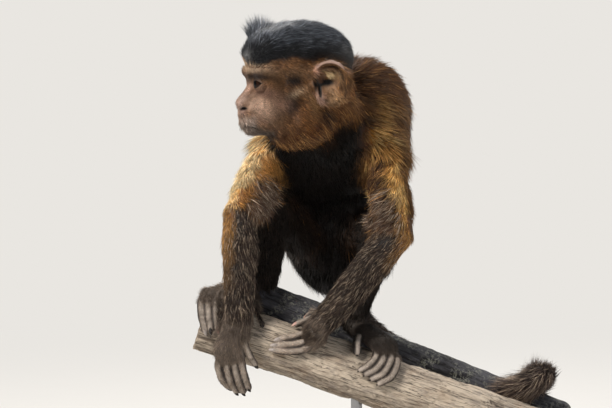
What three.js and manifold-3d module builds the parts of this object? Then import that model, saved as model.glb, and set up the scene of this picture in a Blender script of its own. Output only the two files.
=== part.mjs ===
// A tufted capuchin monkey, life size, crouched on a sloping log with its head turned to its right.
// Its tail curls over a thinner branch behind the log, and a plain display stand holds both pieces of wood.
//
// Millimetres. +Z is up, the viewer stands at -Y and sees the monkey's chest, and the origin is the
// middle of the stand's underside. The solids reach to the tips of the coat.

import * as THREE from 'three';
import { mergeVertices } from 'three/addons/utils/BufferGeometryUtils.js';
import Module from 'manifold-3d';

const wasm = await Module();
wasm.setup();

// ---------------------------------------------------------------- driving sizes

const GAP = 0.3; // clearance between neighbours

// Grid cells for the two big rounded forms, and how far thinning out the facets may move a surface.
const CELL = { trunk: 14, head: 6.6 };
const FACET = { rounded: 0.5, digits: 0.6, cut: 0.2 };

const LOG = { left: [-131, -60, 184], right: [186, -60, 76], radius: 24 };
const BRANCH = { left: [-84, -29, 200.6], right: [196, -16, 86], radius: 17.5 };

const BASE = { width: 330, depth: 280, height: 16, corner: 40, bevel: 3 };
const ROD = { radius: 5, seat: 8 };
const RODS = { log: 6, branch: 104 }; // where each rod stands along X

const HEAD = {
  at: [-44, -62, 397],
  turn: THREE.MathUtils.degToRad(-78), // the face looks to the monkey's right
  nod: THREE.MathUtils.degToRad(3),
};
const EYE = { radius: 8, aside: 14, forward: 37, up: 1.5 };
const EAR = { aside: 35, back: 19.5, up: 1.5, height: 41, width: 35, sides: 14 };
// Across an ear from its middle to the rim and round behind it: share of the radius, and mm outwards.
const EAR_SECTION = [
  [0, 0.5],
  [0.34, 1],
  [0.58, 3.6],
  [0.8, 7.2],
  [0.92, 8.6],
  [1, 7.8],
  [0.93, 5.6],
  [0.7, 0.5],
  [0.5, -4],
  [0, -8],
];

// Joint centres, which are about a real capuchin's bone lengths apart.
const JOINT = {
  right: {
    shoulder: [-64, 14, 334],
    elbow: [-97, -52, 281],
    wrist: [-97, -88, 197],
    hip: [-18, 62, 233],
    knee: [-68, 8, 278],
    ankle: [-77, -32, 205],
  },
  left: {
    shoulder: [28, -20, 334],
    elbow: [42, -84, 266],
    wrist: [-19, -90, 192],
    hip: [8, 64, 240],
    knee: [31, -28, 266],
    ankle: [2, -36, 181],
  },
};

// Radii out to the coat's tips, at the upper and lower end of each length of limb.
const GIRTH = {
  upperArm: [20, 21, 20, 17.5],
  foreArm: [18, 18, 16.5, 15],
  thigh: [30, 28, 24, 19],
  shank: [17, 17.5, 15, 12.5],
};

const TAIL_PATH = [
  [0, 98, 222],
  [0, 103, 192],
  [8, 84, 168],
  [26, 52, 154],
  [46, 26, 145],
  [66, 15, 136],
  [100, 14, 121],
  [132, 14, 109],
  [158, 10, 112],
  [173, -8, 126],
  [172, -26, 131],
  [160, -40, 124],
  [143, -43, 118],
];
const TAIL_RADII = [17, 15, 13.5, 13, 13, 13, 13, 12.5, 12, 11];
const TAIL_LENGTHS = 5;

// ---------------------------------------------------------------- materials

const finish = (color, roughness, metalness = 0) =>
  new THREE.MeshStandardMaterial({ color, roughness, metalness });

const MATERIAL = {
  darkFur: finish(0x1c1511, 0.85),
  brownFur: finish(0x4a3220, 0.85),
  goldFur: finish(0xb0823f, 0.85),
  face: finish(0xa9805f, 0.7),
  skin: finish(0x5a4a42, 0.6),
  eye: finish(0x1a0f08, 0.12),
  wood: finish(0x8a7458, 0.9),
  bark: finish(0x2e2c2c, 0.95),
  lacquer: finish(0x23201d, 0.4),
  steel: finish(0x8c8c8c, 0.35, 1),
};

// ---------------------------------------------------------------- fields
// A field gives a point's distance outside a rounded form, and is negative inside it.

const vec = ([x, y, z]) => new THREE.Vector3(x, y, z);
const between = (a, b, t) => vec(a).lerp(vec(b), t).toArray();
const shifted = (a, by) => a.map((value, i) => value + by[i]);

function ball(centre, radii, turn = [0, 0, 0]) {
  const middle = vec(centre);
  const back = new THREE.Matrix4()
    .makeRotationFromEuler(new THREE.Euler(...turn, 'ZYX'))
    .invert();
  const p = new THREE.Vector3();
  const q = new THREE.Vector3();
  const r = vec(radii);
  return (point) => {
    p.copy(point).sub(middle).applyMatrix4(back);
    q.copy(p).divide(r);
    const near = q.length();
    q.divide(r);
    const slope = q.length();
    return slope > 1e-9 ? (near * (near - 1)) / slope : -Math.min(...radii);
  };
}

// A bone with its flesh: a rounded cone from a to b.
function bone(a, b, radiusA, radiusB) {
  const start = vec(a);
  const along = vec(b).sub(start);
  const length = along.length();
  along.normalize();
  const p = new THREE.Vector3();
  return (point) => {
    p.copy(point).sub(start);
    const run = p.dot(along);
    const t = THREE.MathUtils.clamp(run / length, 0, 1);
    const away = p.addScaledVector(along, -t * length).length();
    return away - THREE.MathUtils.lerp(radiusA, radiusB, t);
  };
}

// Joins forms with a fillet about as wide as `round`.
function blend(round, ...fields) {
  return (point) =>
    fields.reduce((joined, field) => {
      const value = field(point);
      const h = Math.max(round - Math.abs(joined - value), 0) / round;
      return Math.min(joined, value) - (h * h * round) / 4;
    }, Infinity);
}

// ---------------------------------------------------------------- surfaces from fields

// A grid cell's corners are numbered by the bits x, y and z. An edge joins two corners along an axis.
const CELL_EDGES = [0, 1, 2].flatMap((axis) =>
  [0, 1, 2, 3].map((n) => {
    const [u, v] = [(axis + 1) % 3, (axis + 2) % 3];
    const low = ((n & 1) << u) | ((n >> 1) << v);
    return { axis, slot: n, low, high: low | (1 << axis) };
  }),
);
const edgeBetween = (a, b) =>
  CELL_EDGES.findIndex(({ low, high }) => low === Math.min(a, b) && high === Math.max(a, b));
const CELL_FACES = [0, 1, 2].flatMap((axis) =>
  [0, 1].map((side) => {
    const [u, v] = [1 << ((axis + 1) % 3), 1 << ((axis + 2) % 3)];
    const corners = [0, u, u | v, v].map((bits) => bits | (side << axis));
    return corners.map((corner, i) => ({ corner, edge: edgeBetween(corner, corners[(i + 1) % 4]) }));
  }),
);

// Groups a cell's crossed edges into the separate sheets of surface that pass through it.
function sheetsOf(inside) {
  const owner = CELL_EDGES.map(({ low, high }, i) => (inside[low] === inside[high] ? -1 : i));
  const join = (a, b) => {
    const [from, to] = [owner[b], owner[a]];
    owner.forEach((value, i) => value === from && (owner[i] = to));
  };
  for (const face of CELL_FACES) {
    const crossed = face.filter(({ edge }) => owner[edge] >= 0);
    if (crossed.length === 2) join(crossed[0].edge, crossed[1].edge);
    if (crossed.length < 4) continue;
    face.forEach(({ corner, edge }, i) => inside[corner] && join(face[(i + 3) % 4].edge, edge));
  }
  return owner;
}

// The closed surface where a field is zero, found on a grid of cells that fills a box.
function surfaceOf(field, [low, high], cell) {
  const corner = vec(low);
  const [nx, ny, nz] = vec(high).sub(corner).divideScalar(cell).ceil().addScalar(1).toArray();
  const stride = [1, nx, nx * ny];
  const offset = (bits) => (bits & 1) + ((bits >> 1) & 1) * nx + (bits >> 2) * nx * ny;
  const place = (index) =>
    new THREE.Vector3(index % nx, Math.floor(index / nx) % ny, Math.floor(index / (nx * ny)))
      .multiplyScalar(cell)
      .add(corner);
  const values = Array.from({ length: nx * ny * nz }, (_, i) => field(place(i)));

  // Slides a point onto the surface, along the field's own slope.
  const slope = new THREE.Vector3();
  const settle = (p) => {
    for (let pass = 0; pass < 3; pass++) {
      const here = field(p);
      const probe = (axis) => field(p.clone().setComponent(axis, p.getComponent(axis) + 0.01)) - here;
      slope.set(probe(0), probe(1), probe(2)).normalize();
      p.addScaledVector(slope, -here);
    }
    return p;
  };

  const positions = [];
  const rounds = new Map(); // for each crossed grid edge, the surface points of the cells round it
  for (let z = 0; z < nz - 1; z++)
    for (let y = 0; y < ny - 1; y++)
      for (let x = 0; x < nx - 1; x++) {
        const first = x + y * nx + z * nx * ny;
        const inside = Array.from({ length: 8 }, (_, bits) => values[first + offset(bits)] < 0);
        if (inside.every((one) => one === inside[0])) continue;
        const owner = sheetsOf(inside);
        for (const sheet of new Set(owner.filter((one) => one >= 0))) {
          const edges = CELL_EDGES.filter((_, i) => owner[i] === sheet);
          const point = new THREE.Vector3();
          for (const { low: a, high: b } of edges) {
            const [from, to] = [first + offset(a), first + offset(b)];
            const share = values[from] / (values[from] - values[to]);
            point.addScaledVector(place(from).lerp(place(to), share), 1 / edges.length);
          }
          for (const { axis, slot, low: a } of edges) {
            const key = (first + offset(a)) * 3 + axis;
            if (!rounds.has(key)) rounds.set(key, []);
            rounds.get(key)[slot] = positions.length / 3;
          }
          positions.push(...settle(point));
        }
      }

  const faces = [];
  for (const [key, [a, b, d, c]] of rounds) {
    const outward = values[Math.floor(key / 3)] < 0;
    const [p, q, r, s] = outward ? [a, b, c, d] : [d, c, b, a];
    faces.push(p, q, r, p, r, s);
  }
  return new THREE.BufferGeometry()
    .setAttribute('position', new THREE.Float32BufferAttribute(positions, 3))
    .setIndex(faces);
}

// ---------------------------------------------------------------- surfaces along a curve

// A value part-way along an evenly spaced list.
function along(values, t) {
  const x = t * (values.length - 1);
  const i = Math.min(Math.floor(x), values.length - 2);
  return THREE.MathUtils.lerp(values[i], values[i + 1], x - i);
}

const smoothCurve = (points) => new THREE.CatmullRomCurve3(points.map(vec), false, 'centripetal');

// A closed round-sectioned length along a curve, with a dome at each end, or a flat end where `dome` is 0.
function sweep(curve, radii, options = {}) {
  const { from = 0, to = 1, rings = 6, sides = 8, dome = [2, 2], flat = 1, up = [0.1, 0.2, 1] } = options;
  const positions = [];
  const station = (t, lean) => {
    const radius = along(radii, t);
    const tangent = curve.getTangent(t);
    const centre = curve.getPoint(t).addScaledVector(tangent, radius * Math.sin(lean));
    return { centre, tangent, radius: radius * Math.cos(lean) };
  };
  const pole = (t, sign, domed) => positions.push(...station(t, domed ? (sign * Math.PI) / 2 : 0).centre);
  const across = vec(up).cross(curve.getTangent(from));
  const ring = (t, lean) => {
    const { centre, tangent, radius } = station(t, lean);
    across.addScaledVector(tangent, -across.dot(tangent)).normalize(); // follows the curve, untwisted
    const over = tangent.clone().cross(across);
    for (let i = 0; i < sides; i++) {
      const turn = (2 * Math.PI * i) / sides;
      const p = centre
        .clone()
        .addScaledVector(across, Math.cos(turn) * radius)
        .addScaledVector(over, Math.sin(turn) * radius * flat);
      positions.push(...p);
    }
  };
  const lean = (k, count) => ((Math.PI / 2) * k) / (count + 1);

  pole(from, -1, dome[0]);
  for (let k = dome[0]; k > 0; k--) ring(from, -lean(k, dome[0]));
  for (let i = 0; i <= rings; i++) ring(THREE.MathUtils.lerp(from, to, i / rings), 0);
  for (let k = 1; k <= dome[1]; k++) ring(to, lean(k, dome[1]));
  pole(to, 1, dome[1]);

  const count = dome[0] + rings + 1 + dome[1];
  const last = 1 + count * sides;
  const faces = [];
  for (let i = 0; i < sides; i++) {
    const j = (i + 1) % sides;
    faces.push(0, 1 + j, 1 + i);
    for (let low = 1; low < last - sides; low += sides) {
      const high = low + sides;
      faces.push(low + i, low + j, high + j, low + i, high + j, high + i);
    }
    faces.push(last, last - sides + i, last - sides + j);
  }
  return new THREE.BufferGeometry()
    .setAttribute('position', new THREE.Float32BufferAttribute(positions, 3))
    .setIndex(faces);
}

// ---------------------------------------------------------------- solids

function solid(geometry) {
  const bare = geometry.clone();
  bare.deleteAttribute('normal');
  bare.deleteAttribute('uv');
  const merged = mergeVertices(bare, 1e-4);
  const made = new wasm.Manifold(
    new wasm.Mesh({
      numProp: 3,
      vertProperties: merged.attributes.position.array,
      triVerts: new Uint32Array(merged.index.array),
    }),
  );
  if (made.volume() < 0) throw new Error('a solid is inside out');
  return made;
}

function mesh(name, shape, material) {
  const bodies = shape.simplify(FACET.cut).decompose();
  const largest = bodies.sort((a, b) => b.volume() - a.volume())[0];
  const { vertProperties, triVerts } = largest.getMesh();
  const geometry = new THREE.BufferGeometry()
    .setAttribute('position', new THREE.BufferAttribute(vertProperties, 3))
    .setIndex(new THREE.BufferAttribute(triVerts, 1));
  geometry.computeVertexNormals();
  const made = new THREE.Mesh(geometry, material);
  made.name = name;
  return made;
}

// A solid made from a field, with its facets thinned out where it is nearly flat.
const carve = (field, box, cell) => solid(surfaceOf(field, box, cell)).simplify(FACET.rounded);

// The same solid a little larger all over, to cut clearance into a neighbour.
function grown(shape, by = 1.5 * GAP) {
  const { vertProperties, triVerts } = shape.getMesh();
  const geometry = new THREE.BufferGeometry()
    .setAttribute('position', new THREE.BufferAttribute(vertProperties, 3))
    .setIndex(new THREE.BufferAttribute(triVerts, 1));
  geometry.computeVertexNormals();
  const { position, normal } = geometry.attributes;
  for (let i = 0; i < position.array.length; i++) position.array[i] += normal.array[i] * by;
  return solid(geometry);
}

const subtractAll = (shape, cutters) => cutters.reduce((left, cut) => left.subtract(cut), shape);

// The plane that halves the bend at joint b, facing back towards a.
function bendPlane(a, b, c) {
  const normal = vec(a).sub(vec(b)).normalize().sub(vec(c).sub(vec(b)).normalize());
  normal.normalize();
  return { normal: normal.toArray(), offset: normal.dot(vec(b)) };
}

const nearSide = (shape, { normal, offset }) => shape.trimByPlane(normal, offset + GAP / 2);
const farSide = (shape, { normal, offset }) =>
  shape.trimByPlane(normal.map((n) => -n), -offset + GAP / 2);

// A straight round bar from a to b.
function bar(a, b, radius, sides = 16) {
  const along = vec(b).sub(vec(a));
  const geometry = new THREE.CylinderGeometry(radius, radius, along.length(), sides);
  const turn = new THREE.Quaternion().setFromUnitVectors(
    new THREE.Vector3(0, 1, 0),
    along.clone().normalize(),
  );
  geometry.applyQuaternion(turn).translate(...between(a, b, 0.5));
  return geometry;
}

// ---------------------------------------------------------------- perch

// A log or branch: a bar with a slightly wandering, knotty outline.
function timber({ left, right, radius }, { grow = 0, rings = 14, sides = 20, seed = 0 } = {}) {
  const geometry = new THREE.CylinderGeometry(1, 1, 1, sides, rings, false);
  const position = geometry.attributes.position;
  const start = vec(left);
  const along = vec(right).sub(start);
  const length = along.length();
  const turn = new THREE.Quaternion().setFromUnitVectors(
    new THREE.Vector3(0, 1, 0),
    along.clone().normalize(),
  );
  const p = new THREE.Vector3();
  for (let i = 0; i < position.count; i++) {
    p.fromBufferAttribute(position, i);
    const run = p.y + 0.5;
    const angle = Math.atan2(p.z, p.x);
    const knots = 0.035 * Math.sin(3 * angle + 9 * run + seed) + 0.03 * Math.sin(17 * run + 2 * seed);
    const r = Math.hypot(p.x, p.z) > 0.5 ? radius * (1 + knots) + grow : 0;
    p.set(Math.cos(angle) * r, (run * (length + 2 * grow)) - grow, Math.sin(angle) * r);
    p.applyQuaternion(turn).add(start);
    position.setXYZ(i, ...p);
  }
  return geometry;
}

const LOG_SHAPE = { rings: 8, sides: 14, seed: 0.6 };
const BRANCH_SHAPE = { rings: 7, sides: 12, seed: 2.4 };
const log = solid(timber(LOG, LOG_SHAPE));
const logCutter = solid(timber(LOG, { ...LOG_SHAPE, grow: GAP }));
const branch = solid(timber(BRANCH, BRANCH_SHAPE)).subtract(logCutter);
const woodCutters = [
  logCutter,
  solid(timber(BRANCH, { ...BRANCH_SHAPE, grow: GAP })),
];

// ---------------------------------------------------------------- stand

function baseBoard() {
  const { width, depth, height, corner, bevel } = BASE;
  const x = width / 2 - bevel;
  const y = depth / 2 - bevel;
  const outline = new THREE.Shape()
    .moveTo(-x + corner, -y)
    .lineTo(x - corner, -y)
    .absarc(x - corner, -y + corner, corner, -Math.PI / 2, 0)
    .lineTo(x, y - corner)
    .absarc(x - corner, y - corner, corner, 0, Math.PI / 2)
    .lineTo(-x + corner, y)
    .absarc(-x + corner, y - corner, corner, Math.PI / 2, Math.PI)
    .lineTo(-x, -y + corner)
    .absarc(-x + corner, -y + corner, corner, Math.PI, 1.5 * Math.PI);
  const geometry = new THREE.ExtrudeGeometry(outline, {
    depth: height - 2 * bevel,
    bevelThickness: bevel,
    bevelSize: bevel,
    bevelSegments: 1,
    curveSegments: 3,
  });
  return geometry.translate(0, 0, bevel);
}

// A rod from the board up into the wood above it.
function standRod(x, wood) {
  const t = (x - wood.left[0]) / (wood.right[0] - wood.left[0]);
  const [, y, middle] = between(wood.left, wood.right, t);
  return bar([x, y, BASE.height + GAP], [x, y, middle - wood.radius + ROD.seat], ROD.radius);
}

// ---------------------------------------------------------------- trunk, neck and tail

const trunkField = blend(
  26,
  ball([-18, 4, 334], [47, 46, 47], [0, 0, 0.3]),
  ball([9, 30, 358], [50, 48, 58], [0.35, 0, 0.3]),
  ball([10, 60, 312], [46, 48, 54], [0.3, 0, 0.1]),
  ball([-2, 66, 242], [43, 46, 52]),
  ball([-28, 38, 296], [36, 38, 30]), // flank, down to the bent knee
  bone([-34, 8, 338], between(JOINT.right.shoulder, JOINT.right.elbow, 0.12), 32, 25),
  bone([-6, -4, 338], between(JOINT.left.shoulder, JOINT.left.elbow, 0.12), 32, 27),
  bone(JOINT.right.hip, between(JOINT.right.hip, JOINT.right.knee, 0.25), 34, 30),
  bone(JOINT.left.hip, between(JOINT.left.hip, JOINT.left.knee, 0.25), 34, 30),
);
const trunkBox = [
  [-100, -60, 175],
  [80, 130, 430],
];
const trunk = carve(trunkField, trunkBox, CELL.trunk);

const NECK = { low: [-20, -6, 348], high: [-24, -46, 376], radii: [40, 37, 32] };
const neckLine = new THREE.LineCurve3(vec(NECK.low), vec(NECK.high));
const neck = solid(sweep(neckLine, NECK.radii, { rings: 2, sides: 12, dome: [2, 2] }));

const tailCurve = smoothCurve(TAIL_PATH);

// ---------------------------------------------------------------- head
// The head's own frame: the face looks along -Y, +X is the monkey's left, and the eyes are near Z = 0.

const headField = blend(
  9,
  ball([0, 4, 8], [37, 44, 38]), // braincase
  ball([0, -2, 23], [39, 48, 31]), // crest of upright black hair
  ball([0, -28, 9], [30, 16, 12]), // brows
  ball([0, -20, -12], [37, 20, 18]), // cheekbones
  ball([0, -38, -23], [19.5, 18, 16]), // muzzle
  ball([0, -42, -34], [16, 12, 13]), // lips and chin
  ball([0, -8, -30], [37, 34, 25]), // jaw, cheeks and beard
  bone([0, -37, -2], [0, -47.5, -18], 6, 7.5), // nose
);
const tuftFields = [
  bone([-22, -30, 36], [-24, -32, 60], 12, 3), // far tuft, upright
  bone([22, -26, 36], [24, -14, 47], 12, 7), // near tuft, swept back
];
const headBox = [
  [-48, -64, -64],
  [48, 56, 72],
];
const head = carve(blend(5, headField, ...tuftFields), headBox, CELL.head);

const headGroup = new THREE.Group();
headGroup.position.set(...HEAD.at);
headGroup.rotation.set(HEAD.nod, 0, HEAD.turn, 'ZYX');
headGroup.updateMatrix();
const inWorld = (shape) => shape.transform(headGroup.matrix.elements);

const eyeCentre = (sign) => [sign * EYE.aside, -EYE.forward, EYE.up];

function eyeball(sign, grow = 0) {
  const globe = new THREE.SphereGeometry(EYE.radius + grow, 10, 7);
  return solid(globe.translate(...eyeCentre(sign)));
}

// A cupped ear with a rolled rim, fuller at its upper back edge than at its lobe.
function ear(sign) {
  const { aside, back, up, height, width, sides } = EAR;
  const section = EAR_SECTION.map(([r, out]) => new THREE.Vector2(r, out));
  if (sign < 0) section.reverse(); // the mirrored ear is wound the other way
  const geometry = new THREE.LatheGeometry(section, sides);
  const position = geometry.attributes.position;
  const p = new THREE.Vector3();
  for (let i = 0; i < position.count; i++) {
    p.fromBufferAttribute(position, i);
    const lobe = 1 - 0.16 * THREE.MathUtils.smoothstep(-p.z, 0.1, 1);
    const upperBack = 1 + 0.07 * Math.max(0, p.x + p.z - 0.6);
    position.setXYZ(i, sign * p.y, 0.5 * width * p.x * lobe * upperBack, 0.5 * height * p.z);
  }
  const lean = new THREE.Matrix4()
    .makeRotationFromEuler(new THREE.Euler(-0.15, sign * 0.12, sign * -0.3, 'ZYX'))
    .setPosition(sign * aside, back, up);
  return solid(geometry.applyMatrix4(lean));
}

// The clear space round an ear, which the coat of the neck keeps out of.
function earRoom(sign) {
  const { aside, back, up, height, width } = EAR;
  const room = new THREE.SphereGeometry(1, 12, 8).scale(17, width / 2 + 6, height / 2 + 6);
  return solid(room.translate(sign * (aside + 1), back, up));
}

// ---------------------------------------------------------------- arms and legs

// Two lengths of limb that meet in the plane of their bend.
function limb(a, b, c, upper, lower) {
  const length = (from, to, radii) =>
    solid(sweep(new THREE.LineCurve3(vec(from), vec(to)), radii, { rings: 5, sides: 12, dome: [3, 3] }));
  const bend = bendPlane(a, b, c);
  return { upper: nearSide(length(a, b, upper), bend), lower: farSide(length(b, c, lower), bend) };
}

// ---------------------------------------------------------------- hands and feet

// A digit: a run of knuckles that ends in a narrow nail.
function digit(points, radius, nail) {
  const reach = vec(points.at(-1)).sub(vec(points.at(-2))).setLength(nail);
  const curve = smoothCurve([...points, shifted(points.at(-1), reach.toArray())]);
  const radii = [...points.map((_, i) => radius * (1 - 0.1 * i)), 1.1];
  return solid(sweep(curve, radii, { rings: 5, sides: 6, dome: [0, 1] }));
}

// The knuckles of a digit, from its root through turns given as steps.
function steps(root, ...moves) {
  const points = [root];
  for (const move of moves) points.push(shifted(points.at(-1), move));
  return points;
}

// A palm, sole or wrist: a flattened run that is as thick as `flat` times its width.
const slab = (points, radii, flat, up) =>
  solid(sweep(smoothCurve(points), radii, { rings: 3, sides: 10, flat, up }));

const joined = (shapes) => shapes.reduce((whole, shape) => whole.add(shape)).simplify(FACET.digits);

// The right hand hangs over the log's near side, its fingers pointing down.
function rightHand() {
  const { wrist } = JOINT.right;
  const heel = shifted(wrist, [-1, -4, -12]);
  const knuckles = shifted(wrist, [-2, -10, -34]);
  const back = slab([shifted(wrist, [0, 0, -2]), heel, knuckles], [14, 14.5, 16], 0.72, [0, 1, 0.3]);
  const spread = [-11, -4, 3.5, 10.5];
  const reach = [32, 39, 39, 33];
  const fingers = spread.map((x, i) =>
    digit(
      steps(
        shifted(knuckles, [x * 0.85 - 1, 1, 0]),
        [x * 0.12 - 0.5, 0, -0.42 * reach[i]],
        [0.6, 4, -0.34 * reach[i]],
        [1, 4, -0.2 * reach[i]],
      ),
      4.9,
      4.5,
    ),
  );
  const thumb = digit(steps(shifted(wrist, [8, -8, -12]), [4, -1, -14], [2.5, 0, -12], [1, 1, -8]), 4.8, 3);
  return joined([back, ...fingers, thumb]);
}

// The left hand lies along the log, its fingers pointing to the monkey's right.
function leftHand() {
  const { wrist } = JOINT.left;
  const heel = shifted(wrist, [-9, -2, -9]);
  const knuckles = shifted(wrist, [-20, -2, -19]);
  const back = slab([shifted(wrist, [-1, 0, -1]), heel, knuckles], [13, 13.5, 14], 0.85, [0, 0.3, 1]);
  const roots = [
    [-2, -6, -7],
    [-5, -4, -1],
    [-6, 2, 4],
    [-4, 8, 9],
  ];
  const reach = [26, 28, 25, 19];
  const fingers = roots.map((root, i) =>
    digit(
      steps(
        shifted(knuckles, root),
        [-0.45 * reach[i], -1, -0.2 * reach[i]],
        [-0.32 * reach[i], 0, 0.02 * reach[i]],
        [-0.2 * reach[i], 1, 0.08 * reach[i]],
      ),
      4.8,
      4,
    ),
  );
  const thumb = digit(steps(shifted(wrist, [-10, 8, -2]), [-6, 5, -3], [-6, 3, -5], [-5, 1, -3]), 4.6, 3);
  return joined([back, ...fingers, thumb]);
}

// A foot: sole and instep from heel to ball, four toes bent down over the wood, and a thumb-like big toe.
function foot({ ankle, heel, ball: pad, across, toe, bigToe, bigToeRoot }) {
  const instep = between(ankle, pad, 0.45);
  const sole = slab([heel, instep, pad], [12, 12.5, 14.5], 0.8, [0.1, 0, 1]);
  const collar = slab([ankle, between(ankle, heel, 0.8)], [13, 12.5], 1, [0.1, 1, 0.1]);
  const toes = [-1.5, -0.5, 0.5, 1.5].map((row, i) => {
    const root = shifted(pad, across.map((value) => value * row * 7.4));
    const long = [0.88, 1, 1, 0.86][i];
    return digit(steps(root, ...toe.map((move) => move.map((value) => value * long))), 4.9, 4);
  });
  const thumb = digit(steps(bigToeRoot, ...bigToe), 5.8, 2.5);
  return joined([sole, collar, ...toes, thumb]);
}

const RIGHT_FOOT = {
  ankle: JOINT.right.ankle,
  heel: [-76, -31, 198],
  ball: [-113, -56, 208],
  across: [-0.28, 0.9, 0.1],
  toe: [[-11, -3, 1], [-6, -10, -9], [2, -6, -12], [2, 1, -7]],
  bigToeRoot: [-86, -54, 200],
  bigToe: [[4, -9, -4], [3, -7, -6], [1, -4, -7]],
};
const LEFT_FOOT = {
  ankle: JOINT.left.ankle,
  heel: [8, -30, 172],
  ball: [30, -72, 163],
  across: [0.75, 0.35, -0.3],
  toe: [[2, -13, -3], [-2, -9, -10], [-6, -3, -10], [-5, 2, -6]],
  bigToeRoot: [8, -60, 170],
  bigToe: [[-8, -10, -1], [-3, -12, -5], [-1, -6, -8]],
};

// ---------------------------------------------------------------- assembly

const monkey = new THREE.Group();
monkey.name = 'capuchin_monkey';

const trunkCutter = grown(trunk);
const headGrown = grown(head);
const headCutter = inWorld(headGrown);
const eyeSockets = [-1, 1].map((sign) => eyeball(sign, GAP));

monkey.add(mesh('trunk', trunk.subtract(headCutter), MATERIAL.darkFur));
headGroup.add(mesh('head', subtractAll(head, eyeSockets), MATERIAL.face));
for (const [name, sign] of [['right', -1], ['left', 1]]) {
  headGroup.add(mesh(`eye_${name}`, eyeball(sign), MATERIAL.eye));
  headGroup.add(mesh(`ear_${name}`, ear(sign).subtract(headGrown), MATERIAL.skin));
}
monkey.add(headGroup);
const neckCutters = [trunkCutter, headCutter, inWorld(earRoom(-1)), inWorld(earRoom(1))];
monkey.add(mesh('neck', subtractAll(neck, neckCutters), MATERIAL.darkFur));

const limbs = {};
for (const side of ['right', 'left']) {
  const { shoulder, elbow, wrist, hip, knee, ankle } = JOINT[side];
  limbs[side] = {
    arm: limb(shoulder, elbow, wrist, GIRTH.upperArm, GIRTH.foreArm),
    leg: limb(hip, knee, ankle, GIRTH.thigh, GIRTH.shank),
  };
}

const hands = { right: rightHand(), left: leftHand() };
const feet = { right: foot(RIGHT_FOOT), left: foot(LEFT_FOOT) };

for (const side of ['right', 'left']) {
  const { arm, leg } = limbs[side];
  const upperArm = subtractAll(arm.upper, [trunkCutter, headCutter]);
  const foreArm = subtractAll(arm.lower, woodCutters);
  const hand = subtractAll(hands[side], [grown(arm.lower), ...woodCutters]);
  monkey.add(mesh(`arm_upper_${side}`, upperArm, MATERIAL.goldFur));
  monkey.add(mesh(`arm_fore_${side}`, foreArm, MATERIAL.brownFur));
  monkey.add(mesh(`hand_${side}`, hand, MATERIAL.skin));
  monkey.add(mesh(`leg_thigh_${side}`, subtractAll(leg.upper, [trunkCutter]), MATERIAL.darkFur));
  monkey.add(mesh(`leg_shank_${side}`, subtractAll(leg.lower, woodCutters), MATERIAL.darkFur));
  const bareFoot = subtractAll(feet[side], [grown(leg.lower), grown(arm.lower), ...woodCutters]);
  monkey.add(mesh(`foot_${side}`, bareFoot, MATERIAL.skin));
}

const tailShare = 1 / TAIL_LENGTHS;
const tailGap = GAP / 2 / tailCurve.getLength();
for (let i = 0; i < TAIL_LENGTHS; i++) {
  const [first, last] = [i === 0, i === TAIL_LENGTHS - 1];
  const length = sweep(tailCurve, TAIL_RADII, {
    from: i * tailShare + (first ? 0 : tailGap),
    to: (i + 1) * tailShare - (last ? 0 : tailGap),
    rings: 5,
    sides: 10,
    dome: [0, last ? 3 : 0],
  });
  const shape = subtractAll(solid(length), [trunkCutter, ...woodCutters]);
  monkey.add(mesh(`tail_${i + 1}`, shape, MATERIAL.darkFur));
}

const rods = { log: standRod(RODS.log, LOG), branch: standRod(RODS.branch, BRANCH) };
const rodCutters = Object.values(rods).map((rod) => solid(rod));
monkey.add(mesh('perch_log', subtractAll(log, rodCutters), MATERIAL.wood));
monkey.add(mesh('perch_branch', subtractAll(branch, rodCutters), MATERIAL.bark));
monkey.add(mesh('stand_base', solid(baseBoard()), MATERIAL.lacquer));
monkey.add(mesh('stand_rod_log', solid(rods.log), MATERIAL.steel));
monkey.add(mesh('stand_rod_branch', solid(rods.branch), MATERIAL.steel));

export default monkey;
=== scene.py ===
# %% [markdown]
# # A capuchin monkey on a sloping log
#
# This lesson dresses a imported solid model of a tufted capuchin, life size, as a museum would show it.
# The solids give every outline out to the tips of the coat. Here they get what a solid can't carry:
# one skin without seams, eyes and nails, a coat of real mesh tufts, and wood with cracks and bark.
# Everything is in metres and stands in the same frame as the solids, so nothing has to be fitted.

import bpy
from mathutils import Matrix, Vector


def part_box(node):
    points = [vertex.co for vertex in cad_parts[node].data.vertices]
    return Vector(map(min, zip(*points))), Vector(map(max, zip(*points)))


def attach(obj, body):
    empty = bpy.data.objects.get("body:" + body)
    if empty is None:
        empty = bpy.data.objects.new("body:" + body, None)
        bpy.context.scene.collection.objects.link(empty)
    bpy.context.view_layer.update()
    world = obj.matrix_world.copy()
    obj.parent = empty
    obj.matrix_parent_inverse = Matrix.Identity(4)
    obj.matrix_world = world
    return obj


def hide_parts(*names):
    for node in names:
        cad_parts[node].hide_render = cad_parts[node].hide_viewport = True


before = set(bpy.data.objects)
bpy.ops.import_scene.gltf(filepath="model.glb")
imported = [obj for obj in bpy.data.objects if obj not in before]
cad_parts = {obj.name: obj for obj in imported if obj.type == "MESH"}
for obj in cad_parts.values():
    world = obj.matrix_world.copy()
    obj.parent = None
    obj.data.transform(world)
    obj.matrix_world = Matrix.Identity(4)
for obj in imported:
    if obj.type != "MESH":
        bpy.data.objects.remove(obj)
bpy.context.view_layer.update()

# %% Tools and units
import math

import bmesh
import bpy
import numpy as np
from mathutils import Matrix, Vector
from mathutils.bvhtree import BVHTree
from mathutils.kdtree import KDTree

MM = 0.001


def tone(code):
    """A colour written as on a paint card, such as "#a08060", in the linear light that shaders use."""
    parts = [int(code[i : i + 2], 16) / 255 for i in (1, 3, 5)]
    return np.array([c / 12.92 if c <= 0.04045 else ((c + 0.055) / 1.055) ** 2.4 for c in parts])


def unit(vectors):
    """Vectors made one long."""
    return vectors / np.maximum(np.linalg.norm(vectors, axis=-1, keepdims=True), 1e-12)


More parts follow.
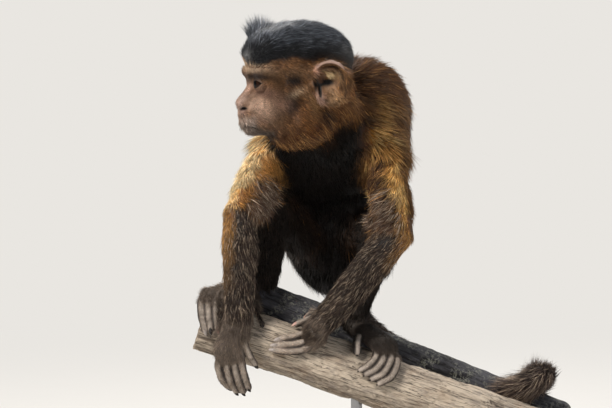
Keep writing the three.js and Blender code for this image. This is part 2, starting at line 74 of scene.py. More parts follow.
def ramp(values, low, high):
    """0 below low, 1 above high, and a soft slope between them."""
    t = np.clip((values - low) / (high - low), 0, 1)
    return t * t * (3 - 2 * t)


def blob(points, centre, radius):
    """1 at a centre and fading away round it. The radius may differ along the three axes."""
    return np.exp(-(((points - np.array(centre)) / np.array(radius)) ** 2).sum(-1))


# %% [markdown]
# ## Smooth chance
#
# Nothing on an animal repeats. A lattice of random numbers, read between its points, gives a value that
# wanders smoothly through space. It bends the lie of the hair, varies its colour and roughens the wood,
# and a seed makes it the same on every run.


# %% Noise on a lattice
def wander(points, size, seed):
    """A smooth random value from -1 to 1 at each point, which changes over about `size` metres."""
    lattice = np.random.default_rng(seed).uniform(-1, 1, (32, 32, 32))
    p = points / size + 1000.0
    cell = np.floor(p).astype(int)
    t = p - cell
    t = t * t * (3 - 2 * t)
    total = 0
    for corner in np.ndindex(2, 2, 2):
        share = np.prod(np.where(corner, t, 1 - t), axis=-1)
        x, y, z = ((cell + corner) % 32).T
        total = total + share * lattice[x, y, z]
    return total


print("noise from", wander(np.zeros((1, 3)), 0.01, 1)[0])

# %% [markdown]
# ## The camera
#
# The viewer stands a little above the animal and well back, with a long lens, so that nothing near the
# lens looks swollen. The lens follows from how wide a strip of the scene should fill the frame.

# %% Camera
scene = bpy.context.scene
LOOK_AT = Vector((-0.0387, -0.060, 0.2885))
DISTANCE = 3.6
ELEVATION = math.radians(6)
SEEN_WIDTH = 0.53856

lens = bpy.data.cameras.new("camera")
lens.sensor_width = 36
lens.lens = lens.sensor_width * DISTANCE / SEEN_WIDTH
lens.clip_end = 100
camera = bpy.data.objects.new("camera", lens)
scene.collection.objects.link(camera)
back_to_camera = Vector((0, -math.cos(ELEVATION), math.sin(ELEVATION)))
camera.location = LOOK_AT + DISTANCE * back_to_camera
camera.rotation_euler = (-back_to_camera).to_track_quat("-Z", "Y").to_euler()
scene.camera = camera
print("lens", round(lens.lens, 1), "mm")

# %% [markdown]
# ## Shader maths
#
# A material's pattern is arithmetic on coordinates and noise. `Wire` wraps one output socket, so that a
# pattern reads as a sum instead of a web of nodes. Numbers go through Math nodes, and colours and
# vectors through Mix and Vector Math. Every other node comes from one method, `make`.


# %% Wires
class Wire:
    """One output of a material's node, or, with no socket, the start of a new pattern."""

    def __init__(self, tree, socket=None):
        self.tree = tree
        self.socket = socket

    def make(self, kind, settings=None, values=None, out=0):
        """Adds a node: its type, its settings, then the values or wires of its sockets."""
        node = self.tree.nodes.new(kind)
        for name, value in (settings or {}).items():
            if name == "stops":
                elements = node.color_ramp.elements
                while len(elements) < len(value):
                    elements.new(0.5)
                for element, (place, colour) in zip(elements, value):
                    element.position = place
                    element.color = (*colour, 1)
            else:
                setattr(node, name, value)
        for name, value in (values or {}).items():
            if isinstance(value, Wire):
                self.tree.links.new(value.socket, node.inputs[name])
            elif np.ndim(value) == 1 and len(value) == 3 and node.inputs[name].type == "RGBA":
                node.inputs[name].default_value = (*value, 1)
            else:
                node.inputs[name].default_value = value
        return Wire(self.tree, node.outputs[out])

    def math(self, operation, *values):
        settings = {"operation": operation}
        return self.make("ShaderNodeMath", settings, dict(enumerate(values)))

    def __add__(self, other):
        return self.math("ADD", self, other)

    def __sub__(self, other):
        return self.math("SUBTRACT", self, other)

    def __rsub__(self, other):
        return self.math("SUBTRACT", other, self)

    def __mul__(self, other):
        return self.math("MULTIPLY", self, other)

    def __truediv__(self, other):
        return self.math("DIVIDE", self, other)

    def __pow__(self, other):
        return self.math("POWER", self, other)

    __radd__ = __add__
    __rmul__ = __mul__

    def between(self, low, high):
        """0 where this is under low and 1 where it is over high."""
        values = {"Value": self, "From Min": low, "From Max": high}
        return self.make("ShaderNodeMapRange", {"interpolation_type": "SMOOTHSTEP"}, values)

    def blend(self, first, second):
        """A colour from first, where this is 0, to second, where it is 1."""
        settings = {"data_type": "RGBA"}
        return self.make("ShaderNodeMix", settings, {0: self, 6: first, 7: second}, out=2)

    def noise(self, place, scale, detail=3.0, roughness=0.55):
        values = {"Vector": place, "Scale": scale, "Detail": detail, "Roughness": roughness}
        return self.make("ShaderNodeTexNoise", None, values)

    def stretched(self, place, factors):
        settings = {"operation": "MULTIPLY"}
        return self.make("ShaderNodeVectorMath", settings, {0: place, 1: factors})

    def scaled(self, colour, factor):
        settings = {"operation": "SCALE"}
        return self.make("ShaderNodeVectorMath", settings, {0: colour, "Scale": factor})

    def bump(self, height, distance, strength=1.0):
        values = {"Height": height, "Distance": distance, "Strength": strength}
        return self.make("ShaderNodeBump", None, values)


def surface(name, pattern, **fixed):
    """A material. `pattern` takes an empty Wire and gives the sockets that change over the surface."""
    material = bpy.data.materials.new(name)
    material.use_nodes = True
    tree = material.node_tree
    shader = tree.nodes["Principled BSDF"]
    for socket, value in fixed.items():
        shader.inputs[socket.replace("_", " ")].default_value = value
    for socket, wire in pattern(Wire(tree)).items():
        tree.links.new(wire.socket, shader.inputs[socket])
    return material


def place_of(pen):
    """Where a point is on the object, in metres."""
    return pen.make("ShaderNodeTexCoord", out=3)


# %% [markdown]
# ## The skin: one surface over all the flesh
#
# The solids of flesh meet at flat planes with a hair's gap. A real animal has one skin. Copies of the
# solids are swelled by half a millimetre, so that they merge, and a voxel remesh wraps them all in one
# sheet of small, even faces. Sculpting one sheet over hidden joints is what a taxidermist does too.

# %% Gather the flesh
FLESH = ["trunk", "neck", "head", "eye_left", "eye_right", "ear_left", "ear_right"]
for side in ("left", "right"):
    FLESH += [f"arm_upper_{side}", f"arm_fore_{side}", f"hand_{side}"]
    FLESH += [f"leg_thigh_{side}", f"leg_shank_{side}", f"foot_{side}"]
FLESH += [f"tail_{i}" for i in range(1, 6)]
PAWS = [name for name in FLESH if name.startswith(("hand", "foot"))]
SWELL = 0.4 * MM


def corners_of(name):
    """The corner points of a solid."""
    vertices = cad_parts[name].data.vertices
    points = np.empty(len(vertices) * 3)
    vertices.foreach_get("co", points)
    return points.reshape(-1, 3)


def middle_of(name):
    low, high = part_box(name)
    return np.array((low + high) / 2)


def long_axis(name, towards):
    """The direction in which a solid is longest, turned towards a point."""
    points = corners_of(name)
    centred = points - points.mean(0)
    axis = np.linalg.eigh(centred.T @ centred)[1][:, -1]
    return axis * np.sign(axis.dot(towards - points.mean(0)))


def ends_of(name, towards):
    """The two ends of a solid's long axis, the far one last."""
    axis = long_axis(name, towards)
    points = corners_of(name)
    centre = points.mean(0)
    run = (points - centre) @ axis
    return centre + run.min() * axis, centre + run.max() * axis


def new_object(name, mesh):
    made = bpy.data.objects.new(name, mesh)
    scene.collection.objects.link(made)
    return made


def with_modifier(mesh, kind, **settings):
    """A mesh as a modifier leaves it."""
    source = new_object("source", mesh)
    if "vertex_group" in settings:
        group = source.vertex_groups.new(name="chosen")
        for index in np.flatnonzero(settings["vertex_group"]).tolist():
            group.add([index], 1.0, "REPLACE")
        settings["vertex_group"] = "chosen"
    modifier = source.modifiers.new("change", kind)
    for name, value in settings.items():
        setattr(modifier, name, value)
    evaluated = source.evaluated_get(bpy.context.evaluated_depsgraph_get())
    made = bpy.data.meshes.new_from_object(evaluated)
    bpy.data.objects.remove(source)
    return made


bm = bmesh.new()
for name in FLESH:
    if name in PAWS:
        continue
    solid_part = bmesh.new()
    solid_part.from_mesh(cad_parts[name].data)
    bmesh.ops.remove_doubles(solid_part, verts=solid_part.verts, dist=1e-6)
    solid_part.normal_update()
    for vertex in solid_part.verts:
        vertex.co += vertex.normal * SWELL
    welded = bpy.data.meshes.new(name)
    solid_part.to_mesh(welded)
    solid_part.free()
    bm.from_mesh(welded)
print("flesh of", len(FLESH) - len(PAWS), "solids")

# %% [markdown]
# ## Hands and feet
#
# The solids of the hands and feet are as thick as the hair on them. Under that hair a capuchin's digits
# are slim, with a knuckle at each joint and a gap between neighbours, so they are drawn again here: each
# digit is a smooth tube through its knuckles, and each palm or sole is a flattened one. Every wrist and
# ankle is placed in millimetres from the middle of that hand's or foot's own solid. The tubes aren't
# fitted to the wood: palms and soles sink up to 3 mm into the log, and the heels further into the branch.


# %% Tubes
def smooth_line(points, count):
    """Points along a smooth curve that runs through the given ones."""
    points = np.array(points, float)
    padded = np.concatenate([[2 * points[0] - points[1]], points, [2 * points[-1] - points[-2]]])
    t = np.linspace(0, len(points) - 1, count)
    i = np.minimum(t.astype(int), len(points) - 2)
    u = (t - i)[:, None]
    a, b, c, d = (padded[i + k] for k in range(4))
    curved = (2 * a - 5 * b + 4 * c - d) * u**2 + (3 * b - a - 3 * c + d) * u**3
    return b + 0.5 * ((c - a) * u + curved)


def tube(line, radii, flat=1.0, up=(0, 0, 1), sides=18):
    """A closed tube with rounded ends, `flat` times as thick along `up` as it is wide."""
    tangent = unit(np.gradient(line, axis=0))
    spots, widths, along = [], [], []
    domes = np.sin(np.radians([88, 65, 40, 18]))
    for share in domes:
        spots.append(line[0] - tangent[0] * radii[0] * share)
        widths.append(radii[0] * math.sqrt(1 - share**2))
        along.append(tangent[0])
    spots += list(line)
    widths += list(radii)
    along += list(tangent)
    for share in domes[::-1]:
        spots.append(line[-1] + tangent[-1] * radii[-1] * share)
        widths.append(radii[-1] * math.sqrt(1 - share**2))
        along.append(tangent[-1])
    across = unit(np.cross(np.array(up, float), tangent[0]))
    angle = np.linspace(0, 2 * np.pi, sides, endpoint=False)[:, None]
    points = []
    for spot, width, direction in zip(spots, widths, along):
        across = unit(across - direction * across.dot(direction))
        over = np.cross(direction, across)
        points.append(spot + width * (np.cos(angle) * across + flat * np.sin(angle) * over))
    index = np.arange(len(spots) * sides).reshape(-1, sides)
    a, b = index[:-1], index[1:]
    faces = np.stack([a, np.roll(a, -1, 1), np.roll(b, -1, 1), b], -1).reshape(-1, 4).tolist()
    faces += [index[0][::-1].tolist(), index[-1].tolist()]
    mesh = bpy.data.meshes.new("tube")
    mesh.from_pydata((np.concatenate(points) * MM).tolist(), [], faces)
    return mesh


# %% Draw the hands and feet
paw_lines = []  # every digit and palm: its solid's name and its line
digits = []  # every digit: its solid's name, its line in millimetres, and the radius of its tip


def add_palm(name, points, radii, flat, up):
    line = smooth_line(points, 16)
    radii = np.interp(np.linspace(0, 1, 16), np.linspace(0, 1, len(radii)), radii)
    bm.from_mesh(tube(line, radii, flat, up))
    paw_lines.append((name, line))


def add_digit(name, knuckles, radius, taper=0.78):
    line = smooth_line(knuckles, 26)
    t = np.linspace(0, 1, 26)
    radii = radius * (1 - (1 - taper) * t)
    for knuckle in np.arange(1, len(knuckles) - 1) / (len(knuckles) - 1):
        radii += 0.10 * radius * np.exp(-(((t - knuckle) / 0.07) ** 2))
    radii += 0.08 * radius * np.exp(-(((t - 0.93) / 0.06) ** 2))  # the pad of the fingertip
    bm.from_mesh(tube(line, radii, sides=14))
    paw_lines.append((name, line))
    digits.append((name, line, radii[-1]))


def spot(name, offset):
    """A place given in millimetres from the middle of a solid."""
    return middle_of(name) / MM + np.array(offset, float)


# A hand's joints are given from its wrist, and a foot's from its ankle.
# The right hand hangs over the log's near side, its fingers pointing down.
name = "hand_right"
wrist = spot(name, (0, 7.5, 40))
add_palm(name, wrist + [[0, 4, 16], [-2, -4, -12], [-9, -10, -33]], [12.4, 11.6, 12.6], 0.66, (0, 1, 0.3))
for finger in (
    [(-16, -10, -32), (-18.5, -11.5, -47), (-15, -9.5, -59), (-9, -5.5, -66.4)],
    [(-10.5, -11, -30), (-11.2, -12.5, -46), (-7.6, -10.5, -60), (-3, -6, -70)],
    [(-5, -11, -30), (-4, -12.5, -46), (-0.4, -10.5, -60), (3.3, -6, -70.3)],
    [(0.6, -10, -31), (2.4, -11.5, -45.2), (5.6, -9.5, -58.4), (8.2, -5.5, -66.7)],
    [(3, -7, -16), (5, -9.5, -28), (9, -8.5, -38), (13.8, -6, -46.1)],
):
    add_digit(name, wrist + finger, 3.3)

# The left hand lies along the log, its fingers pointing to the monkey's right, the thumb on the far side.
name = "hand_left"
wrist = spot(name, (28, -2, 16.6))
add_palm(name, wrist + [[9, 0, 12], [-5, 3, -6], [-13, 8, -18]], [12, 11.4, 11], 0.68, (0.2, -0.6, 0.75))
for finger in (
    [(-11, 4, -24), (-19, 4, -28.5), (-28, 2.6, -30.5), (-39, 2, -30.5), (-47.6, 2.5, -29.5)],
    [(-12, 7, -18), (-19, 8, -22), (-28.5, 5.2, -24.4), (-39, 3.7, -25), (-46.5, 3.2, -25.2)],
    [(-13, 12, -12), (-20, 12, -15.5), (-30, 8.6, -18), (-38, 6, -19), (-43.5, 5, -20.2)],
    [(-6, 14, -5), (-11, 20, -3), (-17, 22, -5), (-23, 21, -7.5), (-28, 19.5, -9)],
    [(-2, 12, 1), (-7, 19, 4), (-13, 23, 1.5), (-18.5, 25, -3)],
):
    add_digit(name, wrist + finger, 3.3)

# Each foot grips the wood: four toes bend down over it, and the big toe holds on like a thumb.
FEET = {
    "foot_right": {
        "ankle": (28.4, 22, 3.5), "heel": (1, 1, -7), "ball": (-33, -22, 3), "up": (0, 6, 12),
        "toes": (
            [(-39, -15, 4), (-49, -26, 5), (-54, -44, -2), (-53.5, -52, -13), (-50.5, -54, -25)],
            [(-38, -20, 4), (-44, -29, 5), (-48, -45, -3), (-47.3, -53, -14), (-45.5, -55, -24)],
            [(-35, -23, 3), (-39, -30, 4), (-41.5, -45, -4), (-40.8, -53, -14), (-39.5, -55, -23)],
            [(-32, -26, 2), (-33.5, -31, 2), (-35, -44, -5), (-34.5, -52, -14), (-34, -55, -22)],
            [(-9, -22, -5), (-5, -31, -9), (-2, -38, -15), (-1, -42, -22)],
        ),
    },
    "foot_left": {
        "ankle": (-16.3, 25.2, 24.4), "heel": (6, 6, -9), "ball": (27, -33, -17), "up": (5, 2, 12),
        "toes": (
            [(20, -33, -17), (20.5, -42, -25.5), (14.5, -48, -32), (7.5, -50.5, -36)],
            [(25.5, -34, -17), (27, -42, -27), (21, -48.5, -35.5), (12.5, -51, -40)],
            [(31, -33, -18), (33.5, -41.5, -28.5), (27.5, -49, -39), (18, -51.5, -44)],
            [(35, -30, -20), (39.3, -41, -32), (34, -49.5, -42.5), (24, -51.5, -48)],
            [(6, -24, -11), (5, -32, -11.5), (4, -39, -15), (4, -43.5, -21)],
        ),
    },
}
for name, foot in FEET.items():
    ankle = spot(name, foot["ankle"])
    heel, ball_of_foot = ankle + foot["heel"], ankle + foot["ball"]
    instep = ankle + 0.45 * (ball_of_foot - ankle)
    add_palm(name, [heel, instep, ball_of_foot], [10, 10.5, 12], 0.72, (0.1, 0, 1))
    down_to_heel = [ankle + foot["up"], ankle, ankle + 0.8 * (heel - ankle)]
    add_palm(name, down_to_heel, [8.5, 9.5, 10], 1, (0.1, 1, 0.1))
    for index, toe in enumerate(foot["toes"]):
        add_digit(name, ankle + toe, 4.4 if index == 4 else 3.4)
flesh_mesh = bpy.data.meshes.new("flesh")
bm.to_mesh(flesh_mesh)
bm.free()
print("digits:", len(digits))

# %% Wrap everything in one sheet
VOXEL = 1.3 * MM
wrapped = with_modifier(flesh_mesh, "REMESH", mode="VOXEL", voxel_size=VOXEL)
print("wrap:", len(wrapped.vertices), "points")

# %% [markdown]
# ## Which part of the body is each point on?
#
# The look of a point depends on the part that it belongs to: how deep its coat is, where the hair points
# and what colour it has. The nearest solid says which part that is. Each answer is spread a little way
# over the skin, so that one part's coat runs softly into the next.


# %% A sheet of points held as arrays
class Sheet:
    """A mesh as arrays of points, edges and triangles, so that whole-body changes are quick."""

    def __init__(self, mesh):
        self.mesh = mesh
        mesh.calc_loop_triangles()
        self.points = np.empty(len(mesh.vertices) * 3)
        mesh.vertices.foreach_get("co", self.points)
        self.points = self.points.reshape(-1, 3)
        edges = np.empty(len(mesh.edges) * 2, int)
        mesh.edges.foreach_get("vertices", edges)
        self.edges = edges.reshape(-1, 2)
        triangles = np.empty(len(mesh.loop_triangles) * 3, int)
        mesh.loop_triangles.foreach_get("vertices", triangles)
        self.triangles = triangles.reshape(-1, 3)

    def spread(self, values, times, share=0.6):
        """Lets each point's value drift towards its neighbours'."""
        flat = values.reshape(len(values), -1).astype(float)
        a, b = self.edges.T
        size = len(flat)
        count = np.bincount(a, minlength=size) + np.bincount(b, minlength=size)
        for _ in range(times):
            for column in range(flat.shape[1]):
                value = flat[:, column]
                total = np.bincount(a, value[b], size) + np.bincount(b, value[a], size)
                flat[:, column] = value + share * (total / np.maximum(count, 1) - value)
        return flat.reshape(values.shape)

    def normals(self):
        a, b, c = self.points[self.triangles].transpose(1, 0, 2)
        faces = np.cross(b - a, c - a)
        total = np.zeros_like(self.points)
        for corner in range(3):
            for axis in range(3):
                total[:, axis] += np.bincount(
                    self.triangles[:, corner], faces[:, axis], len(self.points)
                )
        return unit(total)

    def write(self):
        self.mesh.vertices.foreach_set("co", self.points.ravel())
        self.mesh.update()


# %% The head's own directions
# Local head coordinates are millimetres: X to the monkey's left, Y to the back, Z up.
EYE_AT = np.array([14.0, -37.0, 1.5])
eye_middle = (middle_of("eye_left") + middle_of("eye_right")) / 2
ear_middle = (middle_of("ear_left") + middle_of("ear_right")) / 2
head_x = unit(middle_of("eye_left") - middle_of("eye_right"))
head_y = ear_middle - eye_middle
head_y = unit(head_y - head_x * head_y.dot(head_x))
head_z = np.cross(head_x, head_y)
HEAD_AXES = np.array([head_x, head_y, head_z])
head_origin = eye_middle - (head_y * EYE_AT[1] + head_z * EYE_AT[2]) * MM


def to_head(points):
    return (points - head_origin) @ HEAD_AXES.T / MM


def from_head(points):
    return np.asarray(points) * MM @ HEAD_AXES + head_origin


print("head axes", HEAD_AXES.round(3).tolist())

# %% Which part each point is on
solid_points, solid_faces, solid_part = [], [], []
for index, name in enumerate(FLESH):
    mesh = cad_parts[name].data
    start = len(solid_points)
    solid_points += [vertex.co.copy() for vertex in mesh.vertices]
    solid_faces += [[start + corner for corner in face.vertices] for face in mesh.polygons]
    solid_part += [index] * len(mesh.polygons)
solid_tree = BVHTree.FromPolygons(solid_points, solid_faces)
PART = {name: index for index, name in enumerate(FLESH)}


def part_at(points):
    """The number in FLESH of the solid nearest to each point."""
    return np.array([solid_part[solid_tree.find_nearest(Vector(point))[2]] for point in points])


def numbers_of(*starts):
    """The numbers in FLESH of the solids whose names start so."""
    return [PART[name] for name in FLESH if name.startswith(starts)]


def finer(mesh, chosen):
    """Splits the edges of the faces whose corners are all chosen."""
    bm = bmesh.new()
    bm.from_mesh(mesh)
    edges = {e for f in bm.faces if all(chosen[v.index] for v in f.verts) for e in f.edges}
    bmesh.ops.subdivide_edges(bm, edges=list(edges), cuts=1, use_grid_fill=True)
    bmesh.ops.triangulate(bm, faces=[f for f in bm.faces if len(f.verts) > 4])
    bm.to_mesh(mesh)
    bm.free()


# Under long hair a coarser sheet will do. The bare parts and the head keep theirs, and the face gets more.
wrap = Sheet(wrapped)
wrap_part = part_at(wrap.points)
haired = np.isin(wrap_part, numbers_of("trunk", "neck", "arm", "leg", "tail"))
skin_mesh = with_modifier(wrapped, "DECIMATE", vertex_group=haired, ratio=0.42)
rough = Sheet(skin_mesh)
rough_part = part_at(rough.points)
x, y, z = to_head(rough.points).T
on_face = np.isin(rough_part, numbers_of("head", "eye")) & (y < -22) & (z < 14) & (z > -48)
finer(skin_mesh, on_face | np.isin(rough_part, numbers_of("ear", "eye")))

skin = Sheet(skin_mesh)
part = part_at(skin.points)
weights = skin.spread(np.eye(len(FLESH))[part], 10)
print("skin:", len(skin.points), "points,", len(skin.triangles), "triangles")

# %% [markdown]
# ## How deep the coat is
#
# The solids reach to the tips of the hair, so the skin has to lie inside them by the coat's depth. That is
# about half a centimetre on the back, and nothing on the hands and feet, which were drawn at the size of
# the skin. The facets of the solids are smoothed away first.

# %% Smooth the skin and sink it under the coat
COAT_DEPTH = {
    "trunk": 5.5, "neck": 5.5, "head": 3.5, "arm_upper": 4.5, "arm_fore": 3.4, "hand": 0,
    "leg_thigh": 4.5, "leg_shank": 3.2, "foot": 0, "tail_4": 4.2, "tail_5": 3.6, "tail": 3.8, "ear": 0,
    "eye": 0.5,
}  # millimetres
# The dome of the head, without its horns of hair.
CREST = {"middle": (0, -2, 23), "radii": (39.5, 48.5, 31.5)}


def by_part(table):
    """A table of values for kinds of part, spread softly over the skin's points."""
    kinds = [next(key for key in table if name.startswith(key)) for name in FLESH]
    return weights @ np.array([table[kind] for kind in kinds], float)


def only(*starts):
    """1 on the parts whose names start so, and 0 elsewhere, with soft edges."""
    return weights[:, numbers_of(*starts)].sum(1)


ear_weight = only("ear")
paw_weight = only("hand", "foot")
head_weight = only("head", "eye")

# The two horns of hair on the crown are only hair: the far one goes, and the near one is halved.
local = to_head(skin.points)
middle, radii = np.array(CREST["middle"]), np.array(CREST["radii"])
height = np.linalg.norm((local - middle) / radii, axis=1)
keep = 0.6 * ramp(local[:, 0], 2, 10)
lower = (1 + (height - 1) * keep) / np.maximum(height, 1e-9)
horn = (height > 1) * head_weight * ramp(local[:, 2], 20, 30)
local = local + (middle + (local - middle) * lower[:, None] - local) * horn[:, None]
skin.points = from_head(local)

stays = np.clip(paw_weight + ear_weight, 0, 1)[:, None]
skin.points += (skin.spread(skin.points, 8) - skin.points) * (1 - stays)
skin.points += (skin.spread(skin.points, 2) - skin.points) * stays
skin.points += 0.7 * (skin.points - skin.spread(skin.points, 8)) * paw_weight[:, None]

local = to_head(skin.points)
x, y, z = local.T
face = head_weight * ramp(-y, 20, 32) * ramp(14 - z, 0, 6) * ramp(z + 0.62 * (y + 30), -38, -30)
cap_area = head_weight * ramp(z, 14, 24)
depth = by_part(COAT_DEPTH)
between_horns = blob(local, (2, -26, 46), (16, 9, 9))
depth = depth * (1 - cap_area) + (1.8 + 3 * between_horns) * cap_area
depth -= 3.2 * blob(local, (15, -47, 27), (13, 9, 9))  # the forelock bulges over the near brow
depth = depth * (1 - face) + 0.7 * face
skin.points -= skin.spread(skin.normals(), 4) * skin.spread(depth, 4)[:, None] * MM
skin.points += (skin.spread(skin.points, 3) - skin.points) * (1 - stays)
print("coat depth from", depth.min().round(2), "to", depth.max().round(2), "mm")

# %% [markdown]
# ## Sculpting the face
#
# The head gets the most care. Each feature is a small move of the points near it, in the head's own
# directions: the lids close round the eyeball, the nostrils sink in beside a broad, flat nose, and the
# mouth is a crease that runs back under the cheek. Moving points keeps the sheet whole, with no seam.

# %% Eyelids
EYE_RADIUS = 7.7
EYE_SUNK = 0.9  # the eyeball lies this much deeper than its solid
LID = 0.8  # thickness of the lids
OPENING = {"outward": 24, "half_width": 44, "raised": 1, "half_height": 22, "tilt": 0.10}  # degrees


def eye_centre(sign):
    return np.array([sign * EYE_AT[0], EYE_AT[1] + EYE_SUNK, EYE_AT[2] - 0.2])


def eye_view(local, sign):
    """How a point lies as seen from an eye's centre: distance, direction, and share of the opening."""
    offset = local - eye_centre(sign)
    reach = np.linalg.norm(offset, axis=1)
    aim = offset / reach[:, None]
    turn = np.degrees(np.arctan2(sign * aim[:, 0], -aim[:, 1])) - OPENING["outward"]
    rise = np.degrees(np.arcsin(np.clip(aim[:, 2], -1, 1))) - OPENING["raised"] - OPENING["tilt"] * turn
    across = turn / OPENING["half_width"]
    # An almond: the opening is lower towards its two corners.
    almond = OPENING["half_height"] * np.clip(1 - 0.55 * across**2, 0.25, 1)
    return reach, aim, np.hypot(across, rise / almond)


local = to_head(skin.points)
lid_fold_shade = np.zeros(len(local))
lid_rim = np.zeros(len(local))
for sign in (-1, 1):
    reach, aim, opening = eye_view(local, sign)
    close = ramp(EYE_RADIUS + 6.0 - reach, 0, 4.5) * head_weight * (sign * local[:, 0] > 0)
    inside = ramp(1.04 - opening, 0, 0.10) * (reach < EYE_RADIUS + 7)
    above = ramp(aim[:, 2], 0.05, 0.4)
    lid = EYE_RADIUS + LID
    lid += 0.5 * np.exp(-(((opening - 1.14) / 0.10) ** 2))  # the rounded edge of the lid
    lid -= 0.9 * np.exp(-(((opening - 1.62) / 0.14) ** 2)) * (0.35 + 0.65 * above)  # fold over the lid
    lid += 1.1 * np.exp(-(((opening - 2.0) / 0.25) ** 2)) * above
    lid = lid * (1 - inside) + (EYE_RADIUS - 1.8) * inside
    near = np.maximum(close, inside * close.astype(bool))
    local += aim * ((lid - reach) * near)[:, None]
    lid_fold_shade += np.exp(-(((opening - 1.62) / 0.16) ** 2)) * (close > 0.3) * (0.4 + 0.6 * above)
    lid_rim += np.exp(-(((opening - 1.08) / 0.17) ** 2)) * (close > 0.3)
skin.points = from_head(local)

# %% Nose, mouth and brow
MOUTH = [(0, -54, -33.5), (7, -52, -34), (12.5, -46, -36), (16, -39, -38.5), (18, -33, -41.5)]


def distance_to_line(points, line):
    """How far each point is from a line of straight runs."""
    nearest = np.full(len(points), 1e9)
    for a, b in zip(np.array(line[:-1], float), np.array(line[1:], float)):
        t = np.clip((points - a) @ (b - a) / (b - a).dot(b - a), 0, 1)
        nearest = np.minimum(nearest, np.linalg.norm(points - a - t[:, None] * (b - a), axis=1))
    return nearest


def both_sides(points):
    """Head coordinates with the right half laid over the left."""
    local = to_head(points)
    return local * [1, 1, 1] * np.where(local[:, :1] < 0, [-1, 1, 1], [1, 1, 1])


half = both_sides(skin.points)
half_normal = unit(skin.spread(skin.normals(), 3) @ HEAD_AXES.T)
half_normal[:, 0] = np.where(to_head(skin.points)[:, 0] < 0, -half_normal[:, 0], half_normal[:, 0])
mouth = distance_to_line(half * [1, 0.7, 1], [(x, 0.7 * y, z) for x, y, z in MOUTH])
outward = 0.8 * np.exp(-(((mouth - 2.3) / 1.5) ** 2)) - 1.9 * np.exp(-((mouth / 0.95) ** 2))
outward += 1.6 * blob(half, (7.5, -49.5, -16.5), (3.5, 5, 2.6))  # wing of the nose, over the nostril
outward += 0.9 * blob(half, (9, -50, -23.6), (3, 4, 1.6))  # lower rim of the nostril
outward -= 0.9 * blob(half, (0, -56, -25), (1.3, 5, 4))  # groove under the nose
outward -= 1.4 * blob(half, (6.5, -43.5, -4), (3.2, 5, 6))  # hollow beside the bridge
outward += 1.5 * blob(half, (15, -42, 9.5), (11, 7, 3))  # brow ridge
outward -= 1.1 * blob(half, (15, -36, -9.5), (9, 7, 1.8))  # fold under the eye
outward += 0.8 * blob(half, (18, -36, -13), (9, 7, 3))  # cheek bone under it
outward -= 0.9 * blob(half, (14, -42, -24), (1.6, 7, 9))  # fold from the nose round the mouth
outward += 0.8 * blob(half, (0, -50, -42), (8, 6, 4))  # chin
moved = half + half_normal * (outward * head_weight)[:, None]
NOSTRIL = np.array([8.4, -51.2, -20.2])
pit = np.exp(-((half[:, 1] - NOSTRIL[1]) / 2.3) ** 2 - ((half[:, 2] - NOSTRIL[2]) / 1.55) ** 2)
pit *= head_weight * ramp(half[:, 0], 3.5, 5.5)
moved += np.array([-0.85, 0.5, 0.15]) * (4.2 * pit)[:, None]

# Smoothing has drawn the muzzle in, so it comes forward again, all but the lids.
clear_of_eye = ramp(np.linalg.norm(half - eye_centre(1), axis=1), 9, 13)
moved[:, 1] -= 2.4 * ramp(-half[:, 1], 38, 50) * ramp(22 - half[:, 2], 0, 10) * clear_of_eye * head_weight
mirror = np.where(to_head(skin.points)[:, :1] < 0, [-1, 1, 1], [1, 1, 1])
skin.points = from_head(moved * mirror)

# %% [markdown]
# ## Ears
#
# An ear is a dish with folds: the rim rolls over, a second ridge runs inside it, and in front of the deep
# bowl a small flap guards the opening. The solid has the dish and the rim, so the folds are moves of the
# skin along the ear's own outward direction.


